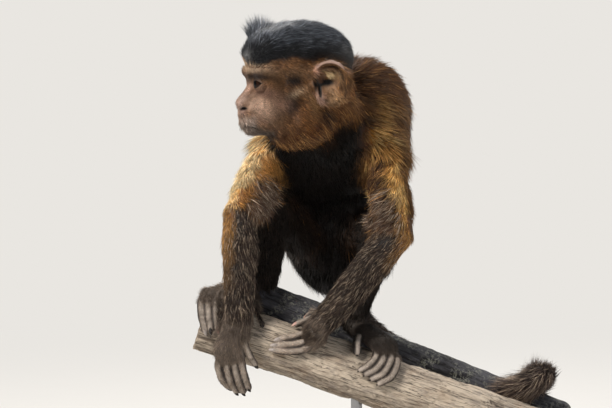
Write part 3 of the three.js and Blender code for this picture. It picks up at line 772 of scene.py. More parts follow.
# %% Ears
ear_inner = np.zeros(len(skin.points))
ear_hole = np.zeros(len(skin.points))
ear_rim = np.zeros(len(skin.points))
ear_place = np.zeros((len(skin.points), 2))  # millimetres to the back and up from the ear's middle
for name in ("ear_left", "ear_right"):
    centre = middle_of(name)
    sign = 1 if name == "ear_left" else -1
    corners = corners_of(name) - corners_of(name).mean(0)
    outwards = np.linalg.eigh(corners.T @ corners)[1][:, 0]
    outwards *= np.sign(outwards.dot(head_x * sign))
    upwards = unit(head_z - outwards * head_z.dot(outwards))
    backwards = np.cross(outwards, upwards) * -sign
    backwards *= np.sign(backwards.dot(head_y))
    offset = (skin.points - centre) / MM
    b, u = offset @ backwards, offset @ upwards
    radius = np.hypot(b / 17.5, u / 20.5)
    weight = weights[:, PART[name]] * ramp(skin.normals() @ outwards, -0.15, 0.3)
    round_back = ramp(b + 0.35 * u, -7, 2)
    move = 1.5 * np.exp(-(((radius - 0.93) / 0.075) ** 2)) * ramp(b + 0.5 * np.abs(u), -9, -3)  # rolled rim
    round_back = round_back * ramp(u, -6, 3)
    move -= 2.4 * np.exp(-(((radius - 0.76) / 0.07) ** 2)) * round_back  # groove inside the rim
    move += 2.6 * np.exp(-(((radius - 0.57) / 0.085) ** 2)) * round_back  # second ridge
    move -= 5.0 * ramp(-b, 9, 14) * ramp(14 - np.abs(u + 1), 0, 6)  # in front the dish runs into the cheek
    move -= 3.0 * np.exp(-(((b + 5) / 4.5) ** 2) - ((u + 3) / 5) ** 2)  # the bowl
    move -= 2.2 * np.exp(-(((b + 4) / 4) ** 2) - ((u - 8.5) / 3) ** 2)  # the smaller bowl above it
    move += 2.2 * np.exp(-(((b + 3) / 7) ** 2) - ((u - 5.6) / 1.8) ** 2)  # ridge between the two
    move += 4.5 * np.exp(-(((b + 13.6) / 2.0) ** 2) - ((u + 2.2) / 3.6) ** 2)  # flap before the opening
    move += 2.8 * np.exp(-(((b + 4.5) / 3.6) ** 2) - ((u + 11) / 2.2) ** 2)  # the ridge that faces it
    hole = 1.1 * np.exp(-(((b + 4.5) / 6.5) ** 2) - ((u + 0.8) / 2.6) ** 2)
    hole += np.exp(-(((b + 10) / 3.0) ** 2) - ((u - 0.5) / 3.8) ** 2)
    hole += 0.9 * np.exp(-(((b + 8.6) / 1.2) ** 2) - ((u + 8.0) / 4.4) ** 2)  # the notch below it
    move -= 4.0 * hole
    skin.points += outwards * (move * weight * MM)[:, None]
    ear_inner += weight * ramp(0.86 - radius, 0, 0.1)
    ear_rim += weight * ramp(radius, 0.88, 0.94)
    ear_place[part == PART[name]] = np.stack([b, u], 1)[part == PART[name]]
    outer_side = ramp(skin.normals() @ outwards, -0.8, -0.3) * np.clip(3 * weights[:, PART[name]], 0, 1)
    ear_hole += outer_side * np.clip(1.7 * hole, 0, 1)
skin.points += (skin.spread(skin.points, 1) - skin.points) * (ear_weight + face)[:, None].clip(0, 1)
skin.write()
print("ears folded, and nearest skin to the mouth line", mouth.min().round(2), "mm")

# %% [markdown]
# ## The lie of the coat
#
# Hair lies away from the nose, back over the head, down the back and out along every limb to the digits.
# Each part gets the direction of its own axis, pointing away from the face. The directions are spread
# over the skin and laid flat on it, so that the hair turns smoothly at the shoulders and hips.


# %% Axes of the limbs
lie = np.zeros((len(FLESH), 3))
lie[PART["trunk"]] = (0, 0.35, -1)
lie[PART["neck"]] = middle_of("trunk") - middle_of("neck")
for side in ("left", "right"):
    for chain in (("arm_upper", "arm_fore", "hand"), ("leg_thigh", "leg_shank", "foot")):
        names = [f"{kind}_{side}" for kind in chain]
        for name, following in zip(names, names[1:]):
            lie[PART[name]] = long_axis(name, middle_of(following))
        end = middle_of(names[2]) - middle_of(names[1])
        lie[PART[names[2]]] = unit(long_axis(names[2], middle_of(names[2]) + end) + 0.3 * unit(end))
flow = unit(weights @ unit(lie + 1e-9))

# From the neck it fans out away from the head, over the shoulders, and turns down over the back.
from_head_middle = unit(skin.points - middle_of("head"))
fan = ramp(skin.points[:, 2], 0.24, 0.36)[:, None]
fanned = unit(from_head_middle * fan + np.array([0, 0.15, -1]) * (1 - 0.45 * fan))
on_trunk = (weights[:, PART["trunk"]] + weights[:, PART["neck"]])[:, None]
flow = flow * (1 - on_trunk) + fanned * on_trunk

# Over each upper arm the hair also sweeps in towards the chest and makes a fringe there.
for side, sign in (("left", 1), ("right", -1)):
    sweep = weights[:, PART[f"arm_upper_{side}"]] * ramp(-sign * skin.normals()[:, 0], -0.7, 0.1)
    flow += sweep[:, None] * np.array([-1.1 * sign, -0.2, 0.1])



def follow(mine, lines):
    """Sets the lie of some points along the nearest of some lines, given in millimetres."""
    spots = np.concatenate(lines)
    ways = np.concatenate([unit(np.gradient(line, axis=0)) for line in lines])
    nearest = KDTree(len(spots))
    for index, place in enumerate(spots * MM):
        nearest.insert(place, index)
    nearest.balance()
    flow[mine] = ways[[nearest.find(point)[1] for point in skin.points[mine]]]


# On hands and feet it follows the nearest digit, or the palm or sole, and on the tail the tail's curve.
for name in PAWS:
    follow(np.flatnonzero(part == PART[name]), [line for owner, line in paw_lines if owner == name])
tail_curve = [middle_of(f"tail_{i}") / MM for i in range(1, 5)]
tail_curve += [spot("tail_5", offset) for offset in [(14, 27, 1), (13, 9, 6), (1, -5, -1), (-16, -8, -7)]]
tail_curve.insert(0, tail_curve[0] + [-3, 12, 30])
follow(np.flatnonzero(np.isin(part, numbers_of("tail"))), [smooth_line(tail_curve, 120)])
flow[part == PART["tail_5"]] += [0, 0, -0.35]

# %% Hair of the head runs back from the nose and down the cheeks
local = to_head(skin.points)
from_nose = unit(local - np.array([0, -56, -16]))
rise = ramp(-local[:, 1], 26, 48)[:, None]
over_crown = rise * np.array([0, 0.7, 0.7]) + (1 - rise) * np.array([0, 1, -0.2])
down_cheek = np.array([0, 0.75, -0.8]) + np.sign(local[:, :1]) * np.array([0.25, 0, 0])
crown = ramp(local[:, 2], 6, 20)[:, None]
front = ramp(-local[:, 1], 20, 40)[:, None]
head_flow = crown * over_crown + (1 - crown) * (front * from_nose + (1 - front) * down_cheek)
head_share = np.clip(head_weight + ear_weight, 0, 1)[:, None]
flow = flow * (1 - head_share) + unit(head_flow) @ HEAD_AXES * head_share


def laid_flat(vectors, normals):
    return unit(vectors - normals * (vectors * normals).sum(-1, keepdims=True))


skin_normals = skin.spread(skin.normals(), 3)
skin_normals = unit(skin_normals)
flow = laid_flat(skin.spread(laid_flat(flow, skin_normals), 10), skin_normals)

# Hands and feet are bare on the side that holds the wood.
log_start, log_end = ends_of("perch_log", middle_of("perch_log") + [1, 0, 0])
log_axis = unit(log_end - log_start)


def from_log(points):
    """The direction from the log's axis to each point."""
    offset = points - log_start
    return unit(offset - (offset @ log_axis)[:, None] * log_axis)


palm = ramp(-(skin_normals * from_log(skin.points)).sum(1), -0.05, 0.35) * paw_weight
print("lie of the coat set at", len(flow), "points")

# %% [markdown]
# ## Markings
#
# A tufted capuchin has a black cap, a pale tan face, dark sideburns that meet under the chin, golden
# shoulders and upper arms, and a body that darkens to black on the limbs and tail. Each marking is a
# named mask over the skin. The skin and the hair read the same masks, so they always agree. Some masks
# are painted light and shade instead: shade on the chest and inner arms, between the digits and on the
# left instep, and a highlight along the right arm and the backs of the digits.

# %% Colours of the coat, at the root and at the tip
SHADES = {
    "trunk": ("#2c1a0e", "#754e2d"),
    "neck": ("#2a190d", "#8f6238"),
    "head": ("#4a2e1c", "#8f6743"),
    "eye": ("#6a4a36", "#8a6a50"),
    "ear": ("#a5806c", "#c9a573"),
    "arm_upper": ("#2e1b0e", "#7a5029"),
    "arm_fore": ("#17110e", "#4a3b32"),
    "hand": ("#4a3e37", "#a08f81"),
    "leg_thigh": ("#120d0a", "#34261c"),
    "leg_shank": ("#0f0c0a", "#30261f"),
    "foot": ("#332a26", "#8a7a6c"),
    "tail": ("#130f0c", "#4a3b32"),
}
root_tone = np.stack([by_part({k: tone(v[0])[c] for k, v in SHADES.items()}) for c in range(3)], 1)
tip_tone = np.stack([by_part({k: tone(v[1])[c] for k, v in SHADES.items()}) for c in range(3)], 1)


def paint(mask, root, tip):
    """Blends a marking's two colours in where its mask is 1."""
    mask = np.clip(mask, 0, 1)[:, None]
    root_tone[:] = root_tone * (1 - mask) + tone(root) * mask
    tip_tone[:] = tip_tone * (1 - mask) + tone(tip) * mask


points = skin.points
normals = skin_normals
patchy = wander(points, 14 * MM, 3)
neck_middle = middle_of("neck")
trunk_middle = middle_of("trunk")
trunk_weight = only("trunk", "neck")

# The throat, chest and underside are painted near-black: partly the coat's own dark brown and partly
# painted shade from the head above. They face forward, between the arms and the legs.
front_edge = np.interp(points[:, 2], [0.20, 0.26, 0.31, 0.36], [0.09, 0.06, 0.03, 0.0])
to_front = ramp(front_edge - points[:, 1] - 0.006 * patchy, 0, 0.02)
under_head = ramp(neck_middle[2] + 0.012 - points[:, 2], 0, 0.02)
between_arms = ramp(0.046 - np.abs(points[:, 0] + 0.030) + 0.005 * patchy, 0, 0.014)
between_arms = np.maximum(between_arms, ramp(0.31 - points[:, 2], 0, 0.02))
dark_front_and_shade = trunk_weight * to_front * under_head * between_arms

# Gold runs from the sides of the neck over each shoulder and down the outer side of the upper arm. Its
# border with the dark inner side lies at another angle round each arm, and turns on the way to the elbow.
GOLD_BORDER = {"left": (0.42, 0.22), "right": (0.95, 0.40)}  # at the shoulder, and at the elbow
gold = np.zeros(len(points))
inner_side = np.zeros(len(points))
fringe = np.zeros(len(points))
for side, sign in (("left", 1), ("right", -1)):
    elbow = middle_of(f"arm_fore_{side}")
    shoulder, low = ends_of(f"arm_upper_{side}", elbow)
    high = np.array([trunk_middle[0] + sign * 0.048, -0.012, neck_middle[2] - 0.012])
    away = distance_to_line(points, [high, shoulder, shoulder + (low - shoulder) * 1.05])
    share = (points - shoulder) @ (low - shoulder) / (low - shoulder).dot(low - shoulder)
    down_arm = np.clip(share, 0, 1)
    border = np.interp(down_arm, [0, 1], GOLD_BORDER[side])
    facing = normals @ np.array([-0.8 * sign, -0.6, 0]) + 0.18 * patchy
    start = -0.25 if side == "left" else 0.05
    inward = ramp(facing - border, -0.2, 0.2) * ramp(share, start, start + 0.25)
    mask = ramp(0.034 - away + 0.006 * patchy, 0, 0.014) * (1 - inward)
    mask *= ramp(0.024 - points[:, 1] + 0.008 * patchy, 0, 0.022)
    # On the left arm the gold stops where the arm turns back, away from the key lamp: that brown edge is
    # painted shade.
    to_back = normals @ np.array([0.85 * sign, 0.5, 0]) + 0.15 * patchy
    behind = ramp(to_back - 0.45 * ramp(share, -0.2, 0.4), -0.2, 0.1)
    mask *= 1 - behind * (0.9 if side == "left" else 0.0)
    gold = np.maximum(gold, mask)
    on_arm = weights[:, PART[f"arm_upper_{side}"]]
    on_forearm = weights[:, PART[f"arm_fore_{side}"]]
    inner_side = np.maximum(inner_side, inward * np.clip(on_arm + 0.6 * on_forearm, 0, 1))
    band = np.exp(-(((facing - border - 0.25) / 0.35) ** 2))
    band = band * ramp(down_arm, 0.3, 0.5) * ramp(1.02 - down_arm, 0, 0.15)
    fringe = np.maximum(fringe, band * on_arm)
gold *= np.clip(trunk_weight + only("arm_upper"), 0, 1) * (1 - dark_front_and_shade)
paint(gold, "#7c4514", "#f6c06a")
streaky = wander(points * [2.6, 2.6, 1], 8 * MM, 17)
near_side = ramp(points[:, 0], -0.07, -0.05)
paint(0.7 * near_side * gold * ramp(streaky, 0.05, 0.4), "#3a1d08", "#96602a")
paint(0.9 * near_side * gold * ramp(-streaky, 0.0, 0.4), "#b57a2c", "#ffe09a")
far_side = ramp(points[:, 0], -0.05, -0.07)
# Where the right arm faces the key lamp, its gold is painted near-white as a painted highlight.
painted_highlight = gold * far_side * ramp(0.15 * patchy - normals[:, 0], 0.0, 0.5)
paint(0.8 * gold * far_side * (1 - painted_highlight), "#6b390f", "#e09a4c")
paint(0.95 * painted_highlight, "#dca65c", "#fff2c8")
# The dark front: the coat's own dark brown, deepened by painted shade.
paint(dark_front_and_shade, "#060403", "#1a110a")
# The inner side of each upper arm is dark brown: partly the coat's own colour and partly painted shade.
paint(0.9 * inner_side * only("arm_upper"), "#160d08", "#553a26")
paint(0.9 * fringe, "#1f140c", "#6a5040")

# Gold fades out below the elbows, on the outer side. The right forearm keeps a tan edge for longer.
for side, sign, reach in (("left", 1, 0.048), ("right", -1, 0.085)):
    top, _ = ends_of(f"arm_fore_{side}", middle_of(f"hand_{side}"))
    fade = ramp(reach - np.linalg.norm(points - top, axis=1) + 0.006 * patchy, 0, 0.8 * reach)
    outer = ramp(normals @ np.array([0.9 * sign, 0.2, -0.1]) + 0.15 * patchy, -0.1, 0.4)
    paint(0.9 * fade * only("arm_fore") * outer, "#6d4318", "#dba763")

# Single hairs break the markings up: some are pale at the tip, and some are gold. These masks say how
# often. On the forearms the pale tips are painted sheen.
pale_tipped = 0.24 * fringe + 0.2 * only("arm_fore") + 0.15 * only("hand") + 0.25 * only("tail_5")
gold_tipped = 0.2 * inner_side * only("arm_upper") * (1 - fringe)
gold_tipped += (0.07 * trunk_weight + 0.1 * only("neck")) * (1 - dark_front_and_shade)

# A pale streak runs back from each ear, over the dark side of the neck.
for sign in (-1, 1):
    ear = middle_of("ear_left" if sign > 0 else "ear_right")
    streak = [ear + [0.012 * sign, 0.012, -0.006], ear + [0.036 * sign, 0.030, -0.022]]
    near_streak = ramp(0.010 - distance_to_line(points, streak) + 0.003 * patchy, 0, 0.006)
    paint(0.7 * near_streak * trunk_weight, "#5b4128", "#c2a072")

# The coat of the forearm and shank fades out over the wrist and ankle.
wrists = np.zeros(len(points))
for name in PAWS:
    above = name.replace("hand", "arm_fore").replace("foot", "leg_shank")
    _, joint = ends_of(above, middle_of(name))
    near_joint = ramp(0.020 - np.linalg.norm(points - joint, axis=1), 0, 0.018)
    wrists = np.maximum(wrists, near_joint * (weights[:, PART[name]] > 0))
    root, tip = SHADES["arm_fore" if name.startswith("hand") else "leg_shank"]
    paint(0.85 * near_joint * weights[:, PART[name]], root, tip)

# Painted shade darkens the left foot's instep and big toe.
foot_middle = middle_of("foot_left")
instep = ramp(points[:, 2] - foot_middle[2], -0.004, 0.012)
instep = np.maximum(instep, ramp(foot_middle[0] - 0.004 - points[:, 0], 0, 0.008))
paint(0.8 * only("foot_left") * instep, "#120e0c", "#352d28")

# The end of the tail is greyer, with pale streaks over its tip.
paint(only("tail_4", "tail_5"), "#1c1513", "#62524a")

# Tan hair grows on the ridge of every finger and toe, painted paler still as a highlight, and painted
# shade darkens the gaps between them.
ridge = np.zeros(len(points))
gap = np.zeros(len(points))
on_digit = np.zeros(len(points))
for name in PAWS:
    first = 14 if name == "foot_right" else 8  # how far along the line a digit stands free of the palm
    lines = [line * MM for owner, line, _ in digits if owner == name]
    mine = np.flatnonzero(part == PART[name])
    spots = np.concatenate([line[first:] for line in lines])
    ways = np.concatenate([unit(np.gradient(line, axis=0))[first:] for line in lines])
    offset = points[mine][:, None] - spots[None]
    nearest = np.linalg.norm(offset, axis=2).argmin(1)
    offset = offset[np.arange(len(mine)), nearest]
    backs = from_log(spots)
    backs = unit(backs - ways * (backs * ways).sum(1, keepdims=True))
    across = np.cross(ways, backs)[nearest]
    sideways = np.abs((offset * across).sum(1)) / (3.1 * MM)
    beside = ramp(0.0062 - np.linalg.norm(offset, axis=1), 0, 0.002)
    ridge[mine] = beside * ramp(0.75 - sideways, 0, 0.4)
    gap[mine] = beside * ramp(sideways, 0.70, 0.95)
    on_digit[mine] = beside
# tan hair, with a painted highlight, along the back of each digit
paint(ridge * (1 - palm) * (0.78 + 0.35 * wander(points, 5 * MM, 18)), "#83736a", "#e6d8c8")
pale_tipped += 0.2 * only("hand") * on_digit
# painted shade in the gaps between the digits
paint(0.95 * gap, "#120d0b", "#241c18")

# %% [markdown]
# ## Markings of the face
#
# The head is the most varied part: a black cap that comes down in a point over each brow, a pale muzzle
# and forehead, dark spots on the temple and under the cheek bone, grey bristles round dark lips, and a
# brown beard with golden tips. Both sides carry the same marks. Painted shade darkens the fold over the
# eye, the brow's underside, the nostrils, the mouth's crease, the hollow behind the chin and the neck below
# the ear, and painted sheen streaks the top of the cap.

# %% Markings of the head
x, y, z = both_sides(points).T
head_patch = wander(points, 5 * MM, 5)
fine_patch = wander(points, 2.4 * MM, 6)


def patch(at_y, at_z, size_y, size_z):
    """A soft spot on the side of the head, in millimetres."""
    return head_weight * np.exp(-(((y - at_y) / size_y) ** 2) - ((z - at_z) / size_z) ** 2)


edge_run = [-56, -50, -44, -36, -26, -15, 0, 11, 26, 40]  # from the brow to the nape
edge_height = [23, 17.5, 17.5, 20, 23.5, 24.5, 21.5, 24, 21, 12]
edge = np.interp(y, edge_run, edge_height)  # the lower edge of the cap
edge = np.where(x < 8, edge + 2.5 * (1 - x / 8), edge)
cap = head_weight * ramp(z + 1.6 * head_patch - edge, -1.3, 1.3)
paint(head_weight * ramp(y + 3 * head_patch, -26, -6), "#462812", "#99683a")
paint(patch(-8, 12, 22, 7), "#5b3d26", "#a27c58")  # side of the forehead
paint(0.9 * patch(-45, 14, 10, 4.6), "#80604a", "#dcc8ac")  # pale forehead over the brow
paint(1.2 * patch(-13, 6, 7.5, 5.5), "#0a0503", "#1f110a")  # dark spot on the temple
paint(head_weight * blob(np.stack([y, z - 0.4 * (y + 13)], 1), (-13, -5), (8, 2.6)), "#b08d72", "#fadfb8")
paint(1.3 * patch(-17, -15, 7, 8), "#0c0502", "#241108")  # dark patch below the pale streak
paint(0.6 * patch(-12, -29, 2.4, 5), "#7a553c", "#c29572")  # a paler line under it
paint(0.8 * patch(0, -6, 6, 6), "#86654a", "#cfa67a")  # in front of the ear
paint(0.7 * patch(3, -16, 4, 8), "#6a4a30", "#c39a6b")  # below that
paint(patch(-48, -4, 10, 10) * ramp(8 - x, 0, 4), "#a38372", "#c4a390")  # bridge of the nose
paint(0.95 * patch(-40, -19, 10, 11), "#a8826e", "#f8d8be")  # side of the muzzle
paint(0.85 * patch(-24, -14, 7, 6), "#7a5544", "#bf9880")  # hollow of the cheek
paint(patch(-36, -7, 8, 4.5) * 0.85, "#4f3529", "#9a7765")  # under the eye
paint(patch(-54, -17, 7, 7) * ramp(12 - x, 0, 4), "#b9998a", "#d2b9ab")  # nose
paint(head_weight * ramp(-y, 42, 48) * ramp(-z, 24, 28), "#8a7466", "#c0ada0")  # upper lip
paint(head_weight * ramp(-z, 36, 41) * ramp(-y, 24, 34), "#332b26", "#8c7d72")  # chin
paint(0.9 * head_weight * np.exp(-(((mouth - 0.4) / 2.1) ** 2)), "#2b2320", "#6d6358")  # dark lips
beard = head_weight * ramp(-z + 0.3 * y + 3 * head_patch, 30, 38) * ramp(y, -36, -28)
sideburn = head_weight * ramp(y - 0.5 * (z + 16) + 2 * head_patch, 14, 24) * ramp(8 - z, 0, 8)
beard = np.maximum(beard, sideburn)
paint(beard, "#140903", "#80491a")
jaw = beard * ramp(-z + 0.3 * y + 3 * head_patch, 33, 42)
paint(0.8 * jaw, "#0a0502", "#40240f")
gold_tipped += 0.12 * beard + 0.24 * jaw
paint(0.9 * patch(-31, -44, 5, 6), "#0e0805", "#3c2815")  # painted shade in the hollow behind the chin
paint(0.9 * patch(16, -26, 9, 8), "#0e0805", "#33200f")  # painted shade below the ear
paint(cap, "#070709", "#191b21")
gold_tipped *= 1 - cap
feathered = cap * ramp(7 + 3 * head_patch - (z - edge), 0, 6) * ramp(y, -12, 12)
paint(0.75 * feathered, "#150e0a", "#564030")  # brown hairs mix in over and behind the ear
# Painted sheen: grey-blue streaks over the top of the black cap, where light from above glances off it.
strands = wander(local * [1.6, 0.5, 1.6] * MM, 3.2 * MM, 19)
crown = cap * ramp(z + 4 * head_patch, 28, 44)
paint(0.6 * crown * ramp(strands, -0.5, 0.6), "#202329", "#868c97")
hidden_lid = np.clip(lid_rim, 0, 1) * head_weight
# painted shade in the fold over each eye, deepest above
paint(0.85 * np.clip(lid_fold_shade, 0, 1) * head_weight, "#2c1b14", "#3c281e")
paint(patch(-42, 7.2, 12, 2.5), "#140c08", "#33211a")  # painted shadow under the brow
# painted shadow of the brow at the inner corner of the eye
paint(0.85 * patch(-48, 3.5, 4, 4), "#1d120c", "#3d2a1f")
paint(0.95 * hidden_lid, "#110b09", "#110b09")
# painted shade in the nostrils
paint(1.6 * pit, "#080505", "#080505")
# painted shade in the crease of the mouth
crease = head_weight * np.exp(-((mouth / 0.8) ** 2))
paint(crease, "#120c0a", "#120c0a")

# %% Markings of the ears
back, up_ear = ear_place.T
shade = 0.5 + 0.5 * wander(points, 6 * MM, 8)
inside_ear = ear_weight * ear_inner


def ear_patch(at_back, at_up, size_back, size_up):
    """A soft spot on the ears, in millimetres from their middles."""
    return ear_weight * np.exp(-(((back - at_back) / size_back) ** 2) - ((up_ear - at_up) / size_up) ** 2)


paint(ear_weight, "#382216", "#8a6038")
paint(0.9 * inside_ear, "#2a1810", "#845a38")
# painted shade in the groove under the rolled rim
groove = np.exp(-(((np.hypot(back / 17.5, up_ear / 20.5) - 0.76) / 0.08) ** 2))
paint(0.95 * inside_ear * groove, "#140b07", "#4a301e")
paint(1.4 * ear_patch(-2, 6.2, 7.0, 3.6), "#b8925f", "#fbe6bb")  # a pale tuft of hair over the opening
paint(0.8 * ear_patch(6, -7, 6, 8) * (0.3 + 0.7 * shade), "#6a4630", "#cf9f70")
gold_tipped += 0.15 * ear_weight * ramp(back, 0, 6)
paint(0.9 * ear_patch(3, -11, 8, 6) * (0.4 + 0.6 * shade), "#7d5a3c", "#dcb688")
paint(0.9 * ear_patch(-13, 12, 3, 6), "#9a6d5b", "#d6a78f")  # where the rim grows out of the cheek
paint(0.9 * ear_patch(-10, -13, 4, 4.5), "#a07868", "#d6b39f")  # the bare lobe
bare_rim = ear_rim * ramp(up_ear - 0.3 * back, 5, 10) * ramp(14 - np.abs(back), 0, 4)
paint(bare_rim * (0.55 + 0.45 * shade), "#7d5f54", "#d3b5a6")
# painted shade in the ear's opening
paint(1.5 * ear_hole, "#060302", "#0d0704")
print("black cap covers", int((cap > 0.5).sum()), "points")


# %% [markdown]
# ## Skin material
#
# Where the hair is thin the skin shows: soft, slightly oily, with fine creases. Its colour comes from the
# markings, stored on the points, and noise adds the mottling that is finer than the points.


# %% Skin material
def skin_pattern(pen):
    place = place_of(pen)
    colour = pen.make("ShaderNodeAttribute", {"attribute_name": "tone"})
    mottle = pen.noise(place, 420.0, 4.0)
    lines = pen.noise(pen.stretched(place, (1.0, 1.0, 2.2)), 1500.0, 3.0, 0.6)
    shade = 0.78 + 0.44 * mottle
    return {
        "Base Color": pen.scaled(colour, shade),
        "Roughness": 0.5 + 0.2 * mottle,
        "Normal": pen.bump(lines, 0.0004, 0.7),
    }


skin_material = surface("skin", skin_pattern, Specular_IOR_Level=0.4)


def set_colours(mesh, colours, name="tone"):
    """Stores a colour on each point of a mesh."""
    layer = mesh.color_attributes.new(name, "FLOAT_COLOR", "POINT")
    rgba = np.ones((len(colours), 4), np.float32)
    rgba[:, :3] = colours
    layer.data.foreach_set("color", rgba.ravel())


def smooth_shaded(mesh):
    mesh.polygons.foreach_set("use_smooth", np.ones(len(mesh.polygons), bool))


bare_skin = np.clip(face + paw_weight + ear_weight, 0, 1)[:, None]
skin_tone = root_tone * (1 - 0.4 * bare_skin) + tip_tone * 0.4 * bare_skin
skin_tone *= 1 + 0.18 * fine_patch[:, None]
set_colours(skin_mesh, skin_tone)
smooth_shaded(skin_mesh)
skin_mesh.materials.clear()
skin_mesh.materials.append(skin_material)
skin_piece = new_object("skin", skin_mesh)
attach(skin_piece, "root")
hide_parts(*[name for name in FLESH if not name.startswith("eye")])

# %% [markdown]
# ## A flat map of the skin
#
# Each tuft's colours need a place on a flat image. A coarse copy of the skin is unwrapped, and each
# tuft gets a tiny patch of that map at the place where its root stands.

# %% Unwrap a coarse copy of the skin
unwrap_mesh = with_modifier(skin_mesh, "REMESH", mode="VOXEL", voxel_size=5 * MM)
unwrapped = new_object("unwrapped", unwrap_mesh)
bpy.context.view_layer.objects.active = unwrapped
unwrapped.select_set(True)
bpy.ops.object.mode_set(mode="EDIT")
bpy.ops.mesh.select_all(action="SELECT")
bpy.ops.mesh.quads_convert_to_tris()
bpy.ops.uv.smart_project(angle_limit=math.radians(66), island_margin=0.002)
bpy.ops.object.mode_set(mode="OBJECT")
unwrap_points = np.array([v.co for v in unwrap_mesh.vertices])
unwrap_faces = np.array([f.vertices for f in unwrap_mesh.polygons])
flat = np.empty(len(unwrap_mesh.loops) * 2)
unwrap_mesh.uv_layers.active.data.foreach_get("uv", flat)
flat = flat.reshape(-1, 3, 2)
unwrap_tree = BVHTree.FromPolygons(unwrap_points.tolist(), unwrap_faces.tolist())
bpy.data.objects.remove(unwrapped)
print("flat map:", len(unwrap_faces), "triangles")


def flat_place(points):
    """Where points of the skin lie on the flat map."""
    hits = [unwrap_tree.find_nearest(Vector(point)) for point in points]
    where = np.array([hit[0] for hit in hits])
    face_index = np.array([hit[2] for hit in hits])
    a, b, c = unwrap_points[unwrap_faces[face_index]].transpose(1, 0, 2)
    whole = np.cross(b - a, c - a)
    size = np.maximum((whole * whole).sum(1), 1e-20)
    u = (np.cross(b - where, c - where) * whole).sum(1) / size
    v = (np.cross(c - where, a - where) * whole).sum(1) / size
    share = np.clip(np.stack([u, v, 1 - u - v], 1), 0, 1)
    share /= share.sum(1, keepdims=True)
    return (flat[face_index] * share[:, :, None]).sum(1)


# %% [markdown]
# ## Tufts
#
# Hair could be particles or curves, but those don't leave Blender as solid shapes. Here each tuft is a
# closed spindle: a point in the skin, a three-sided ring a third of the way up, and a fine tip. It leaves
# the skin at an angle and bends down towards it at the ring. Short hair is a plain three-sided spike.
# Thousands are built at once, with arrays.


# %% Build tufts
RING = np.array([(-1, -0.35), (1, -0.35), (0, 0.65)])
PATCH = 0.0012  # half the width of a tuft's patch on the flat map
BENT_FACES = [(2, 1, 0), (3, 2, 0), (1, 3, 0), (1, 2, 4), (2, 3, 4), (3, 1, 4)]
BENT_PATCH = np.array([(0, -1), (-1, 0), (1, 0), (0, 0.2), (0, 1)])
STRAIGHT_FACES = [(0, 1, 3), (1, 2, 3), (2, 0, 3), (0, 2, 1)]
STRAIGHT_PATCH = np.array([(-1, -1), (1, -1), (0, -0.4), (0, 1)])


def tuft_points(roots, up, along, length, width, lift, bend, seed):
    """The points of every tuft: five where it bends, or four where `bend` is None."""
    chance = np.random.default_rng(seed)
    side = unit(np.cross(up, along))
    sway = chance.normal(0, 0.16, len(roots))[:, None]

    def heading(angle):
        return unit(np.cos(angle)[:, None] * (along + side * sway) + np.sin(angle)[:, None] * up)

    def ring(centre, direction, size):
        over = unit(np.cross(direction, side))
        reach = (width * 0.5 * size)[:, None]
        return [centre + reach * (side * sideways + over * upwards) for sideways, upwards in RING]

    first = heading(lift)
    base = roots - up * np.minimum(0.8 * MM, 0.15 * length)[:, None]
    if bend is None:
        return np.stack([*ring(base, first, 1.0), base + first * length[:, None]], 1)
    second = heading(lift - bend)
    widest = base + first * (length * 0.36)[:, None]
    tip = widest + second * (length * 0.64)[:, None]
    return np.stack([base, *ring(widest, unit(first + second), 1.0), tip], 1)


def tuft_mesh(name, shape, flat, root_colour, tip_colour):
    """One mesh of closed tufts, from an array of the points of each."""
    count, size = shape.shape[:2]
    faces, patch = (BENT_FACES, BENT_PATCH) if size == 5 else (STRAIGHT_FACES, STRAIGHT_PATCH)
    corners = np.concatenate([np.array(face) for face in faces])
    starts = np.cumsum([0] + [len(face) for face in faces[:-1]])
    mesh = bpy.data.meshes.new(name)
    mesh.vertices.add(count * size)
    mesh.vertices.foreach_set("co", shape.ravel())
    loops = (np.arange(count)[:, None] * size + corners).ravel()
    mesh.loops.add(len(loops))
    mesh.loops.foreach_set("vertex_index", loops)
    mesh.polygons.add(count * len(faces))
    mesh.polygons.foreach_set("loop_start", (np.arange(count)[:, None] * len(corners) + starts).ravel())
    mesh.update(calc_edges=True)
    smooth_shaded(mesh)
    fade = np.array([0, 0.4, 0.4, 0.4, 1.0] if size == 5 else [0, 0, 0, 1.0])[None, :, None]
    colours = root_colour[:, None] * (1 - fade) + tip_colour[:, None] * fade
    set_colours(mesh, colours.reshape(-1, 3))
    spread = flat[:, None] + PATCH * patch[corners]
    mesh.uv_layers.new(name="OFBake").data.foreach_set("uv", np.clip(spread, 0, 1).ravel())
    return mesh


def roots_on(chosen, count, seed):
    """Random places on chosen triangles of the skin: their triangles and shares of the corners."""
    chance = np.random.default_rng(seed)
    a, b, c = skin.points[skin.triangles[chosen]].transpose(1, 0, 2)
    area = np.linalg.norm(np.cross(b - a, c - a), axis=1)
    picks = chance.choice(len(chosen), count, p=area / area.sum())
    r, s = np.sqrt(chance.random(count)), chance.random(count)
    return skin.triangles[chosen[picks]], np.stack([1 - r, r * (1 - s), r * s], 1)


def area_of(chosen):
    a, b, c = skin.points[skin.triangles[chosen]].transpose(1, 0, 2)
    return np.linalg.norm(np.cross(b - a, c - a), axis=1).sum() / 2


# %% [markdown]
# ## Grooming
#
# Hair is longest in the fringe of the upper arm, at the tail's end and on the back, and shortest on the
# nose, on the lips and round the opening of the ear. Each part starts from one length, thickness and lift,
# and soft masks then blend in the places that differ, as a brush would. The palms, the rims of the lids,
# the nostrils, the opening of the ear and the beds of the nails stay bare.

